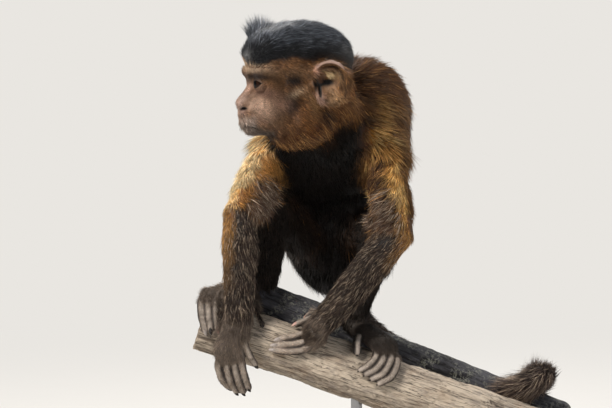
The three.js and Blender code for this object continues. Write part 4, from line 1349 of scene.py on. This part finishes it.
# %% Length, thickness and lift of the hair, part by part
LENGTH = {
    "trunk": 19, "neck": 17, "head": 9, "eye": 3, "ear": 7, "arm_upper": 15, "arm_fore": 12,
    "hand": 3.8, "leg_thigh": 15, "leg_shank": 11, "foot": 3.8, "tail_4": 17, "tail_5": 20, "tail": 15,
}  # millimetres
WIDTH = {
    "trunk": 0.86, "neck": 0.75, "head": 0.5, "eye": 0.35, "ear": 0.4, "arm_upper": 0.72, "arm_fore": 0.62,
    "hand": 0.42, "leg_thigh": 0.9, "leg_shank": 0.8, "foot": 0.42, "tail_4": 0.7, "tail_5": 0.55,
    "tail": 0.8,
}  # millimetres
LIFT = {
    "trunk": 15, "neck": 16, "head": 24, "eye": 20, "ear": 34, "arm_upper": 20, "arm_fore": 18,
    "hand": 16, "leg_thigh": 24, "leg_shank": 22, "foot": 18, "tail_4": 19, "tail_5": 20, "tail": 25,
}  # degrees
hair_length, hair_width, hair_lift = by_part(LENGTH), by_part(WIDTH), by_part(LIFT)


def groom(mask, length, width, lift):
    """Blends another length, thickness and lift in where a mask is 1."""
    mask = np.clip(mask, 0, 1)
    for values, new in ((hair_length, length), (hair_width, width), (hair_lift, lift)):
        values[:] = values * (1 - mask) + new * mask


signed = to_head(points)
far_horn = head_weight * blob(signed, (-21, -34, 42), (11, 8, 14))
near_horn = head_weight * blob(signed, (18, -40, 36), (12, 11, 10))
groom(face, 4.6, 0.42, 20)
groom(patch(-40, -19, 11, 11), 3.4, 0.36, 24)  # side of the muzzle
groom(patch(-52, -16, 9, 12), 2.2, 0.30, 14)  # nose
groom(patch(-46, -2, 9, 9), 2.4, 0.32, 12)  # bridge of the nose
groom(head_weight * ramp(-z, 38, 42) * ramp(-y, 24, 34), 5, 0.34, 34)  # chin
groom(head_weight * np.exp(-((mouth / 3.2) ** 2)), 2.2, 0.28, 24)  # lips
groom(patch(-44, 13, 12, 5), 6, 0.4, 40)  # brow
groom(head_weight * (1 - face) * ramp(-y, -6, 2), 6.8, 0.46, 24)  # cheek
groom(beard, 16, 0.54, 44)
ELBOW_REACH = 0.030  # metres
for name in ("arm_fore_left", "arm_fore_right"):  # short and flat round the point of the elbow
    elbow, _ = ends_of(name, middle_of(name.replace("arm_fore", "hand")))
    at_elbow = ramp(ELBOW_REACH - np.linalg.norm(points - elbow, axis=1), 0, 0.014)
    groom(0.9 * at_elbow * only("arm_fore", "arm_upper"), 8, 0.5, 12)
groom(cap, 9, 0.46, 13)
groom(near_horn, 12, 0.46, 22)
groom(1.5 * far_horn, 21, 0.5, 74)
groom(fringe, 28, 0.8, 42)
groom(ear_weight * ramp(up_ear + back, -14, -4), 7, 0.4, 26)
groom(1.5 * ear_patch(-2, 5, 8, 5), 4.0, 0.36, 24)
groom(1.6 * ear_patch(-7, -2, 7, 5), 2.4, 0.32, 18)
groom(1.6 * patch(9, 1, 6, 8), 2.2, 0.32, 16)  # little hair grows round the opening
groom(ear_weight * ramp(back, 5, 10), 10, 0.42, 30)  # but much grows behind, and breaks the ear's outline
groom(only("hand", "foot") * (1 - on_digit) * (1 - palm), 8, 0.48, 15)
groom(wrists, 9, 0.6, 18)
tail_end = only("tail_4", "tail_5")
groom(tail_end * ramp(normals[:, 2], 0.2, 0.7) * ramp(0.172 - points[:, 0], 0, 0.008), 24, 0.5, 44)

# %% Where each piece of the coat grows
triangle_part = part[skin.triangles[:, 0]]
first_corner = skin.triangles[:, 0]


def of_parts(*names):
    return np.isin(triangle_part, numbers_of(*names))


on_head = of_parts("head", "eye")
bald = (lid_rim > 0.3) | (pit > 0.12) | (crease > 0.15) | (palm > 0.5) | (ear_hole > 0.35) | (gap > 0.5)
bald |= bare_rim > 0.6
for sign in (-1, 1):
    reach, aim, opening = eye_view(to_head(points), sign)
    bald |= (opening < 1.3) & (reach < EYE_RADIUS + 2.5)
for name, line, radius in digits:
    tip = line[-1] * MM
    bald |= (part == PART[name]) & (np.linalg.norm(points - tip, axis=1) < 0.0045)
haired = ~bald[skin.triangles].any(1)
is_cap = cap[first_corner] > 0.5
is_face = face[first_corner] > 0.5
back_side = skin_normals[first_corner][:, 1] > 0.1
upper = points[first_corner][:, 2] > trunk_middle[2]

COATS = [
    # name, where it grows, tufts, whether they bend, slot
    ("coat_cap", on_head & is_cap, 42000, False, "coat_head"),
    ("coat_face", on_head & ~is_cap & is_face & haired, 36000, False, "coat_head"),
    ("coat_cheeks", on_head & ~is_cap & ~is_face & haired, 24000, True, "coat_head"),
    ("coat_neck", of_parts("neck"), 11000, True, "coat"),
    ("coat_back_upper", of_parts("trunk") & back_side & upper, 22000, True, "coat"),
    ("coat_back_lower", of_parts("trunk") & back_side & ~upper, 17500, True, "coat"),
    ("coat_chest", of_parts("trunk") & ~back_side, 23000, True, "coat"),
    ("coat_arm_left", of_parts("arm_upper_left", "arm_fore_left"), 20500, True, "coat_arm"),
    ("coat_arm_right", of_parts("arm_upper_right", "arm_fore_right"), 20500, True, "coat_arm"),
    ("coat_legs", of_parts("leg_"), 19500, True, "coat"),
    ("coat_tail", of_parts("tail_"), 19000, True, "coat"),
    ("coat_ears", of_parts("ear_") & haired, 5500, True, "coat_head"),
    ("coat_hands", of_parts("hand_") & haired, 11000, False, "coat_arm"),
    ("coat_feet", of_parts("foot_") & haired, 11000, False, "coat"),
]


# %% [markdown]
# ## The coat
#
# Roots are scattered by chance over the triangles of each piece. A hair follows the lie stored on the skin,
# leans towards the middle of its lock, and takes its two colours from the markings at its root. A chance
# number of its own decides whether its tip is pale, golden or grey. The grey tips on the crown, and the
# pale ones on the forearms, are painted sheen. One material reads these colours.

# %% Coat material
def hair_pattern(roughness):
    def pattern(pen):
        place = place_of(pen)
        colour = pen.make("ShaderNodeAttribute", {"attribute_name": "tone"})
        strands = pen.noise(place, 900.0, 2.0)
        return {
            "Base Color": pen.scaled(colour, 0.7 + 0.6 * strands),
            "Roughness": roughness + 0.2 * strands,
        }

    return pattern


coat_material = surface("coat", hair_pattern(0.42), Specular_IOR_Level=0.4)
cap_material = surface("coat_cap", hair_pattern(0.30), Specular_IOR_Level=0.7)

# %% Grow the coat
PALE_TIP = tone("#c4ad95")
# A grey tip on the crown is painted sheen.
SHEEN_TIP = tone("#a4abb6")
GOLD_TIP = tone("#d19a5c")
SHEEN_SHARE = 0.3  # how many hairs of the crown get a grey tip, as painted sheen
tufts_made = 0
for number, (name, where, count, bent, slot) in enumerate(COATS):
    chosen = np.flatnonzero(where)
    corners, share = roots_on(chosen, count, 100 + number)

    def at_root(values):
        mixed = (values[corners] * share.reshape(*share.shape, *[1] * (values.ndim - 1))).sum(1)
        return mixed

    chance = np.random.default_rng(300 + number)
    roots = at_root(points)
    up = unit(at_root(skin_normals))
    turn = 0.35 * wander(roots, 9 * MM, 11) + chance.normal(0, 0.10, count)
    along = laid_flat(at_root(flow), up)
    along = unit(along + np.cross(up, along) * turn[:, None])
    length = at_root(hair_length) * MM * chance.uniform(0.7, 1.15, count)
    length *= 1 + 0.15 * wander(roots, 7 * MM, 12)
    # Neighbours lean together into locks.
    lock = np.clip(at_root(hair_length) * 0.4, 1.6, 7)[:, None] * MM
    cell = np.floor(roots / lock)
    heart = (cell + 0.5 + 0.3 * np.sin(cell * [12.9, 78.2, 37.7] + cell[:, ::-1] * 4.1)) * lock
    pull = 0.55 - 0.4 * at_root(tail_end)[:, None]
    along = laid_flat(along * length[:, None] + pull * (heart - roots), up)
    width = at_root(hair_width) * MM * chance.uniform(0.75, 1.2, count)
    lift = np.radians(at_root(hair_lift) + chance.normal(0, 6, count) + 6 * wander(roots, 8 * MM, 13))
    bend = np.radians(chance.uniform(10, 26, count))
    varied = 0.36 if slot == "coat_head" else 0.28
    of_lock = np.sin(cell @ [12.9898, 78.233, 37.719])  # a chance value that a lock's hairs share
    shade = chance.normal(0, varied, count) + 0.25 * wander(roots, 5 * MM, 14)
    shade = np.exp(shade + 0.16 * of_lock)[:, None]
    root_colour = at_root(root_tone) * shade
    tip_colour = at_root(tip_tone) * shade
    luck = chance.random((count, 1))
    tip_colour = np.where(luck < at_root(pale_tipped)[:, None], PALE_TIP * shade, tip_colour)
    # painted sheen: grey tips on the crown
    tip_colour = np.where(luck < SHEEN_SHARE * at_root(crown)[:, None], SHEEN_TIP * shade, tip_colour)
    tip_colour = np.where(1 - luck < at_root(gold_tipped)[:, None], GOLD_TIP * shade, tip_colour)
    tip_colour *= chance.uniform(0.75, 1.25, count)[:, None]
    shape = tuft_points(roots, up, along, length, width, lift, bend if bent else None, 500 + number)
    mesh = tuft_mesh(name, shape, flat_place(roots), root_colour, tip_colour)
    mesh.materials.append(cap_material if name == "coat_cap" else coat_material)
    piece = new_object(name, mesh)
    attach(piece, "root")
    tufts_made += count
    print(f"{name}: {count} tufts on {area_of(chosen) * 1e6:.0f} square mm")
print("tufts:", tufts_made)


# %% [markdown]
# ## Eyes
#
# The eye is large and dark: a deep brown iris with a round pupil fills nearly all that the lids leave
# open. A smooth ball with the pattern in its material is enough, with a clear wet coat that catches the
# light.


# %% Eyes
def ball(name, radius, rings=32, segments=48):
    mesh = bpy.data.meshes.new(name)
    bm = bmesh.new()
    bmesh.ops.create_uvsphere(bm, u_segments=segments, v_segments=rings, radius=radius)
    for vertex in bm.verts:
        ahead = vertex.co.z / radius
        vertex.co *= 1 + 0.07 * max(0.0, (ahead - 0.72) / 0.28)  # the clear cornea bulges
    bm.to_mesh(mesh)
    bm.free()
    smooth_shaded(mesh)
    return mesh


def eye_pattern(pen):
    centre = pen.make("ShaderNodeAttribute", {"attribute_name": "gaze"}, out=2)
    fibres = pen.noise(place_of(pen), 2400.0, 2.0)
    edge = centre + 0.03 * fibres
    iris = edge.between(0.60, 0.66)
    pupil = edge.between(0.885, 0.905)
    brown = pen.scaled(iris.blend(tone("#0e0907"), tone("#22120a")), 0.6 + 0.8 * fibres)
    return {"Base Color": pupil.blend(brown, tone("#030202"))}


eye_material = surface("eye", eye_pattern, Roughness=0.12, Specular_IOR_Level=0.14)
for side, sign in (("right", -1), ("left", 1)):
    mesh = ball(f"eyeball_{side}", EYE_RADIUS * MM)
    gaze = unit(np.array([sign * 0.12, -1, 0.02])) @ HEAD_AXES
    turn = Vector(gaze).to_track_quat("Z", "Y").to_matrix().to_4x4()
    directions = np.array([v.co.normalized().z for v in mesh.vertices], np.float32)
    layer = mesh.attributes.new("gaze", "FLOAT", "POINT")
    layer.data.foreach_set("value", directions)
    mesh.transform(Matrix.Translation(Vector(from_head(eye_centre(sign)))) @ turn)
    mesh.materials.append(eye_material)
    eye = new_object(f"eyeball_{side}", mesh)
    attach(eye, "root")
    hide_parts(f"eye_{side}")
print("eyes set")

# %% [markdown]
# ## Nails
#
# A capuchin's nails are narrow and arched, nearly claws, and dark horn in colour. Each one here is a
# curved plate on the back of its digit, away from the wood, and runs out past the fingertip to a point.
# A few are pink, as they are in life, and a few are pale grey: partly their own colour and partly a
# painted highlight.


# %% Nails
def nail(tip, way, back, radius):
    """The points of a nail's upper and lower face, in millimetres: rows along it, columns across."""
    across = np.cross(way, back)
    s = np.linspace(0, 1, 8)[:, None, None]
    j = np.linspace(-1, 1, 7)[None, :, None]
    root = tip - 2.4 * way + 0.98 * radius * back
    bend = tip + 0.9 * radius * way + 1.30 * radius * back
    point = tip + (radius + 2.4) * way + 0.05 * radius * back
    middle = (1 - s) ** 2 * root + 2 * s * (1 - s) * bend + s**2 * point
    half = radius * (0.70 - 0.12 * s - 0.48 * s**4)
    face = middle + across * half * j - back * half * 0.55 * j**2
    return np.concatenate([face.reshape(-1, 3), (face - 0.5 * back * (1 - 0.5 * s)).reshape(-1, 3)])


index = np.arange(56).reshape(8, 7)
plate = np.stack([index[:-1, :-1], index[1:, :-1], index[1:, 1:], index[:-1, 1:]], -1).reshape(-1, 4)
rim = np.concatenate([index[0], index[1:, -1], index[-1, -2::-1], index[-2:0:-1, 0]])
wall = np.stack([rim, np.roll(rim, -1), np.roll(rim, -1) + 56, rim + 56], -1)
nail_faces = np.concatenate([plate, plate[:, ::-1] + 56, wall])
nail_points, nail_tones, all_faces = [], [], []
PINK_NAILS = {("hand_left", 3), ("hand_left", 4), ("foot_right", 2)}
# These nails are pale grey: partly their own colour and partly a painted highlight.
GREY_HIGHLIT_NAILS = {("hand_left", 0), ("hand_left", 1), ("hand_left", 2), ("foot_right", 0)}
seen = dict.fromkeys(PAWS, 0)
for name, line, radius in digits:
    way = unit(line[-1] - line[-4])
    back = from_log(line[-1:] * MM)[0]
    back = unit(back - way * back.dot(way))
    all_faces.append(nail_faces + 112 * len(nail_points))
    sunk = 0.8 if name == "foot_left" else 0.0  # those toes curl under, so that little of their nails shows
    nail_points.append(nail(line[-1] - sunk * way, way, back, radius * (1 - 0.25 * sunk)) * MM)
    which = (name, seen[name])
    seen[name] += 1
    along_nail = np.tile(np.repeat(np.linspace(0, 1, 8), 7), 2)[:, None]
    low, high = ("#2b2320", "#15110f")
    if which in PINK_NAILS:
        low, high = ("#a87468", "#d9b5a4")
    elif which in GREY_HIGHLIT_NAILS:
        low, high = ("#6b5f59", "#c4b8b0")
    nail_tones.append(tone(low) * (1 - along_nail) + tone(high) * along_nail)
nail_mesh = bpy.data.meshes.new("nails")
nail_mesh.from_pydata(np.concatenate(nail_points).tolist(), [], np.concatenate(all_faces).tolist())
bm = bmesh.new()
bm.from_mesh(nail_mesh)
bmesh.ops.recalc_face_normals(bm, faces=bm.faces)
bm.to_mesh(nail_mesh)
bm.free()
smooth_shaded(nail_mesh)
set_colours(nail_mesh, np.concatenate(nail_tones))


def horn_pattern(pen):
    colour = pen.make("ShaderNodeAttribute", {"attribute_name": "tone"})
    growth = pen.noise(place_of(pen), 900.0, 3.0)
    return {"Base Color": pen.scaled(colour, 0.75 + 0.5 * growth), "Roughness": 0.34 + 0.2 * growth}


nail_mesh.materials.append(surface("horn", horn_pattern))
nails = new_object("nails", nail_mesh)
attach(nails, "root")
print("nails:", len(digits))

# %% [markdown]
# ## The perch
#
# The log is old, barkless wood: grey and cream, split by long cracks, with faint year rings on its cut
# ends. The branch behind it still has its dark bark, flecked with lichen. Each is a tube of points round
# the solid's own axis. Rays from the axis find the solid's surface, which is smoothed and then roughened
# with noise that is drawn out along the grain.


# %% Wood surfaces
def timber(name, node, around, rings, relief):
    """A fine tube over a log's solid, with its two ends closed."""
    start, end = ends_of(node, middle_of(node) + [1, 0, 0])
    axis = unit(end - start)
    tree = BVHTree.FromPolygons(
        corners_of(node).tolist(), [list(f.vertices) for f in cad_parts[node].data.polygons]
    )
    side = unit(np.cross(axis, [0, 1, 0]))
    over = np.cross(axis, side)
    angle = np.linspace(0, 2 * np.pi, around, endpoint=False)
    rays = np.cos(angle)[:, None] * side + np.sin(angle)[:, None] * over
    run = np.linspace(0.4 * MM, np.linalg.norm(end - start) - 0.4 * MM, rings)
    radius = np.empty((rings, around))
    for i, distance in enumerate(run):
        centre = Vector(start + axis * distance)
        for j, ray in enumerate(rays):
            hit = tree.ray_cast(centre, Vector(ray))
            radius[i, j] = hit[3] if hit[0] else radius[i - 1, j]
    for _ in range(14):  # the facets of the solid melt away
        radius = (radius + np.roll(radius, 1, 1) + np.roll(radius, -1, 1)) / 3
        radius[1:-1] = (radius[:-2] + radius[1:-1] + radius[2:]) / 3
    at = start + run[:, None, None] * axis + radius[:, :, None] * rays
    frame_points = np.stack(
        [np.broadcast_to(run[:, None], radius.shape), at @ side, at @ over], -1
    ).reshape(-1, 3)
    height = relief(frame_points)
    move = MM * height.reshape(radius.shape)
    at = start + run[:, None, None] * axis + (radius + move)[:, :, None] * rays
    points = at.reshape(-1, 3)
    index = np.arange(rings * around).reshape(rings, around)
    a, b = index[:-1], index[1:]
    quads = np.stack([a, np.roll(a, -1, 1), np.roll(b, -1, 1), b], -1).reshape(-1, 4)
    faces = quads.tolist()
    from_pith = []
    for ring, direction in ((0, -1), (rings - 1, 1)):
        loop = index[ring]
        centre = start + axis * run[ring]
        rim = points[loop]
        previous = loop
        for step in range(1, 13):
            inner = centre + (rim - centre) * (1 - step / 12.5)
            sunk = 0.7 * MM * wander(inner, 3 * MM, 21) - 0.8 * MM * (step > 1)
            inner = inner + direction * axis * sunk[:, None]
            first = len(points)
            points = np.concatenate([points, inner])
            current = np.arange(first, first + around)
            ring_faces = np.stack([previous, np.roll(previous, -1), np.roll(current, -1), current], -1)
            if direction > 0:
                faces += ring_faces.tolist()
            else:
                faces += ring_faces[:, ::-1].tolist()
            previous = current
            from_pith.append(np.full(around, 1 - step / 12.5))
        faces.append(previous.tolist() if direction > 0 else previous[::-1].tolist())
    mesh = bpy.data.meshes.new(name)
    mesh.from_pydata(points.tolist(), [], faces)
    bm = bmesh.new()
    bm.from_mesh(mesh)
    bmesh.ops.recalc_face_normals(bm, faces=bm.faces)
    bm.to_mesh(mesh)
    bm.free()
    smooth_shaded(mesh)
    layer = mesh.attributes.new("grain", "FLOAT_VECTOR", "POINT")
    layer.data.foreach_set("vector", (points @ np.array([axis, side, over]).T).ravel().astype(np.float32))
    on_end = np.zeros(len(points), np.float32)
    on_end[len(frame_points) :] = 1
    mesh.attributes.new("cut_end", "FLOAT", "POINT").data.foreach_set("value", on_end)
    level = np.concatenate([(height - height.min()) / (height.max() - height.min()), *from_pith])
    mesh.attributes.new("relief", "FLOAT", "POINT").data.foreach_set("value", level.astype(np.float32))
    return mesh


def along_grain(points, size, drawn_out, seed):
    """Noise that is `drawn_out` times as long along the grain as across it."""
    return wander(points / np.array([drawn_out, 1, 1]), size, seed)


def cracks(points, size, drawn_out, width, seed):
    """1 along lines that run with the grain, and 0 away from them."""
    return np.exp(-((along_grain(points, size, drawn_out, seed) / width) ** 2))


def flakes(points, size, drawn_out, edge, seed):
    """Layers that have partly flaked off: 1 where one is left, 0 where it's gone, with a sharp edge."""
    layer = along_grain(points, size, drawn_out, seed) + 0.25 * wander(points, 3 * MM, seed + 50)
    return ramp(layer, -edge, edge)


def log_relief(points):
    """Weathered wood, in millimetres: lumps, flaking layers, raised fibres, and splits long and short."""
    bent = points + np.array([0, 1, 1]) * 2 * MM * along_grain(points, 26 * MM, 3, 30)[:, None]
    height = 1.0 * along_grain(bent, 24 * MM, 3, 31)
    height += 0.6 * flakes(bent, 9 * MM, 2.6, 0.12, 37) + 0.4 * flakes(bent, 5 * MM, 3.2, 0.12, 38)
    height += 0.45 * along_grain(bent, 3.6 * MM, 4, 32) + 0.3 * along_grain(bent, 2.2 * MM, 3, 33)
    split = cracks(bent, 15 * MM, 8, 0.06, 34) * ramp(along_grain(points, 30 * MM, 2, 35), -0.1, 0.3)
    short = cracks(bent, 5 * MM, 3, 0.10, 36) * ramp(along_grain(points, 12 * MM, 1.5, 39), -0.2, 0.2)
    return height - 2.0 * split - 1.1 * short - 0.9


def bark_relief(points):
    """Thin bark in plates, in millimetres."""
    height = 1.0 * along_grain(points, 12 * MM, 2.5, 41) + 0.6 * along_grain(points, 3.4 * MM, 2.2, 42)
    return height - 1.0 * cracks(points, 8 * MM, 3, 0.12, 43) - 0.4


def wood_face(pen, high, low, crack, fine_scale, stretch):
    """Wood along the grain: raised parts pale, painted shade in hollows and cracks, finer fibres over both.
    """
    grain = pen.make("ShaderNodeAttribute", {"attribute_name": "grain"}, out=1)
    relief = pen.make("ShaderNodeAttribute", {"attribute_name": "relief"}, out=2)
    fibres = pen.noise(pen.stretched(grain, (stretch, 1.0, 1.0)), fine_scale, 5.0, 0.7)
    lines = pen.noise(pen.stretched(grain, (0.2 * stretch, 1.0, 1.0)), 0.45 * fine_scale, 3.0, 0.55)
    thin = 1.0 - pen.math("ABSOLUTE", lines - 0.5).between(0.0, 0.035)
    cloud = pen.noise(pen.stretched(grain, (0.4, 1.0, 1.0)), 48.0, 3.0)
    tint = (0.55 * fibres + 0.30 * relief + 0.35 * cloud).between(0.42, 0.78)
    face = tint.blend(low, high)
    # Painted shade: the fine crack lines and the deepest hollows go to the crack colour.
    deep = (0.30 - relief).between(-0.16, 0.16)
    face = (0.8 * thin).blend(face, crack)
    face = (0.9 * deep).blend(face, crack)
    return grain, face, fibres


def old_wood(pen):
    grain, face, fibres = wood_face(pen, tone("#d6c5b0"), tone("#6f6054"), tone("#1c1613"), 640.0, 0.20)
    warm = pen.noise(grain, 60.0, 3.0).between(0.50, 0.72)
    face = (0.24 * warm).blend(face, tone("#967453"))
    grey = pen.noise(pen.stretched(grain, (0.6, 1.0, 1.0)), 110.0, 4.0, 0.7).between(0.50, 0.66)
    face = (0.55 * grey).blend(face, tone("#8b8078"))
    end = pen.make("ShaderNodeAttribute", {"attribute_name": "cut_end"}, out=2)
    from_pith = pen.make("ShaderNodeAttribute", {"attribute_name": "relief"}, out=2)
    year_rings = pen.math("SINE", 58.0 * from_pith + 11.0 * pen.noise(grain, 60.0, 3.0))
    cut = 0.045 * year_rings + pen.noise(grain, 260.0, 5.0, 0.7)
    cut = cut.between(0.32, 0.72).blend(tone("#5f5145"), tone("#bba892"))
    return {
        "Base Color": end.blend(face, cut),
        "Roughness": 0.72 + 0.2 * fibres,
        "Normal": pen.bump(fibres, 0.0016, 1.0),
    }


def dark_bark(pen):
    grain, face, fibres = wood_face(pen, tone("#535257"), tone("#1c1a1d"), tone("#0b0a0b"), 480.0, 0.22)
    fleck = pen.noise(grain, 330.0, 3.0, 0.6)
    patches = pen.noise(grain, 60.0, 2.0)
    ring = 1.0 - pen.math("ABSOLUTE", fleck - 0.56).between(0.02, 0.055)  # lichen grows in rings
    pale = ring * patches.between(0.42, 0.62)
    return {
        "Base Color": (0.55 * pale).blend(face, tone("#a3a293")),
        "Roughness": 0.72 + 0.2 * fibres,
        "Normal": pen.bump(fibres + 0.5 * fleck, 0.0018, 1.0),
    }


wood_material = surface("old_wood", old_wood, Specular_IOR_Level=0.3)
bark_material = surface("dark_bark", dark_bark, Specular_IOR_Level=0.4)
for name, node, around, rings, relief, material, slot in (
    ("log", "perch_log", 160, 330, log_relief, wood_material, "log_wood"),
    ("branch", "perch_branch", 110, 240, bark_relief, bark_material, "branch_bark"),
):
    mesh = timber(name, node, around, rings, relief)
    mesh.materials.append(material)
    piece = new_object(name, mesh)
    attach(piece, "root")
    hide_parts(node)
    print(name, len(mesh.polygons), "faces")


# %% [markdown]
# ## The stand
#
# A museum stand should be noticed last: a low dark board, lacquered over fine grain, and two brushed
# steel rods. Their solids are already right, so they only get better materials.


# %% Stand materials
def lacquer(pen):
    grain = pen.stretched(place_of(pen), (3.0, 40.0, 40.0))
    streak = pen.noise(grain, 9.0, 5.0, 0.6)
    return {
        "Base Color": streak.between(0.3, 0.7).blend(tone("#1d1916"), tone("#332a23")),
        "Roughness": 0.32 + 0.14 * streak,
        "Normal": pen.bump(streak, 0.0003, 0.4),
    }


def brushed(pen):
    lines = pen.noise(pen.stretched(place_of(pen), (1.0, 1.0, 0.02)), 3000.0, 2.0)
    return {
        "Base Color": lines.blend(tone("#8a8a8c"), tone("#b4b4b6")),
        "Roughness": 0.24 + 0.2 * lines,
    }


lacquer_material = surface("lacquered_board", lacquer, Coat_Weight=0.3, Coat_Roughness=0.2)
steel_material = surface("brushed_steel", brushed, Metallic=1.0)
for node, material in (
    ("stand_base", lacquer_material),
    ("stand_rod_log", steel_material),
    ("stand_rod_branch", steel_material),
):
    mesh_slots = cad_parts[node].material_slots
    for mesh_slot in mesh_slots:
        mesh_slot.material = material

# %% [markdown]
# ## Floor and light
#
# The floor is pale and plain. Near the stand it takes the model's shadow, and further off it fades into an
# even tone that only the camera sees, so that the background stays quiet from every side. A large soft
# lamp stands high on the left, a weaker one on the right and a third high behind, and the sky fills the
# shadows.

# %% Floor
PALE = tone("#e9e6e1")
floor_mesh = bpy.data.meshes.new("floor")
bm = bmesh.new()
bmesh.ops.create_circle(bm, cap_ends=True, segments=64, radius=40)
bm.to_mesh(floor_mesh)
bm.free()
floor_material = bpy.data.materials.new("floor")
floor_material.use_nodes = True
floor_tree = floor_material.node_tree
pen = Wire(floor_tree)
distance = pen.make("ShaderNodeVectorMath", {"operation": "LENGTH"}, {0: place_of(pen)}, out=1)
seen = pen.make("ShaderNodeLightPath")  # 1 on rays that come straight from the camera
far = distance.between(0.45, 1.3) * seen
glow = pen.make("ShaderNodeEmission", None, {"Color": PALE, "Strength": 1.0})
matt = floor_tree.nodes["Principled BSDF"]
matt.inputs["Base Color"].default_value = (*PALE, 1)
matt.inputs["Roughness"].default_value = 0.9
speck = pen.noise(place_of(pen), 30.0)
floor_tree.links.new(speck.between(0.0, 1.0).blend(PALE * 0.98, PALE).socket, matt.inputs["Base Color"])
mixed = pen.make("ShaderNodeMixShader", None, {0: far, 1: Wire(floor_tree, matt.outputs[0]), 2: glow})
floor_tree.links.new(mixed.socket, floor_tree.nodes["Material Output"].inputs["Surface"])
floor_mesh.materials.append(floor_material)
floor = new_object("floor", floor_mesh)


# %% Lamps and sky
def lamp(name, place, size, power, colour):
    light = bpy.data.lights.new(name, "AREA")
    light.size = size
    light.energy = power
    light.color = colour
    made = new_object(name, light)
    made.location = place
    made.rotation_euler = (LOOK_AT - Vector(place)).to_track_quat("-Z", "Y").to_euler()


lamp("key", (-1.4, -1.7, 2.1), 0.6, 76, (1.0, 0.965, 0.91))
lamp("fill", (1.9, -1.3, 0.9), 1.6, 6, (0.93, 0.96, 1.0))
lamp("top", (0.5, 1.3, 2.1), 0.8, 34, (1.0, 0.97, 0.93))

world = bpy.data.worlds.new("sky")
scene.world = world
world.use_nodes = True
world_tree = world.node_tree
pen = Wire(world_tree)
paths = world_tree.nodes.new("ShaderNodeLightPath")
rays = [Wire(world_tree, paths.outputs[f"Is {kind} Ray"]) for kind in ("Camera", "Glossy", "Transmission")]
straight = rays[0].math("MAXIMUM", rays[0], rays[1].math("MAXIMUM", rays[1], rays[2]))
backdrop = world_tree.nodes["Background"]
world_tree.links.new(straight.blend(tone("#dfe6f0"), PALE).socket, backdrop.inputs["Color"])
strength = 0.32 + 0.68 * rays[0]
world_tree.links.new(strength.socket, backdrop.inputs["Strength"])
scene.view_settings.view_transform = "Standard"
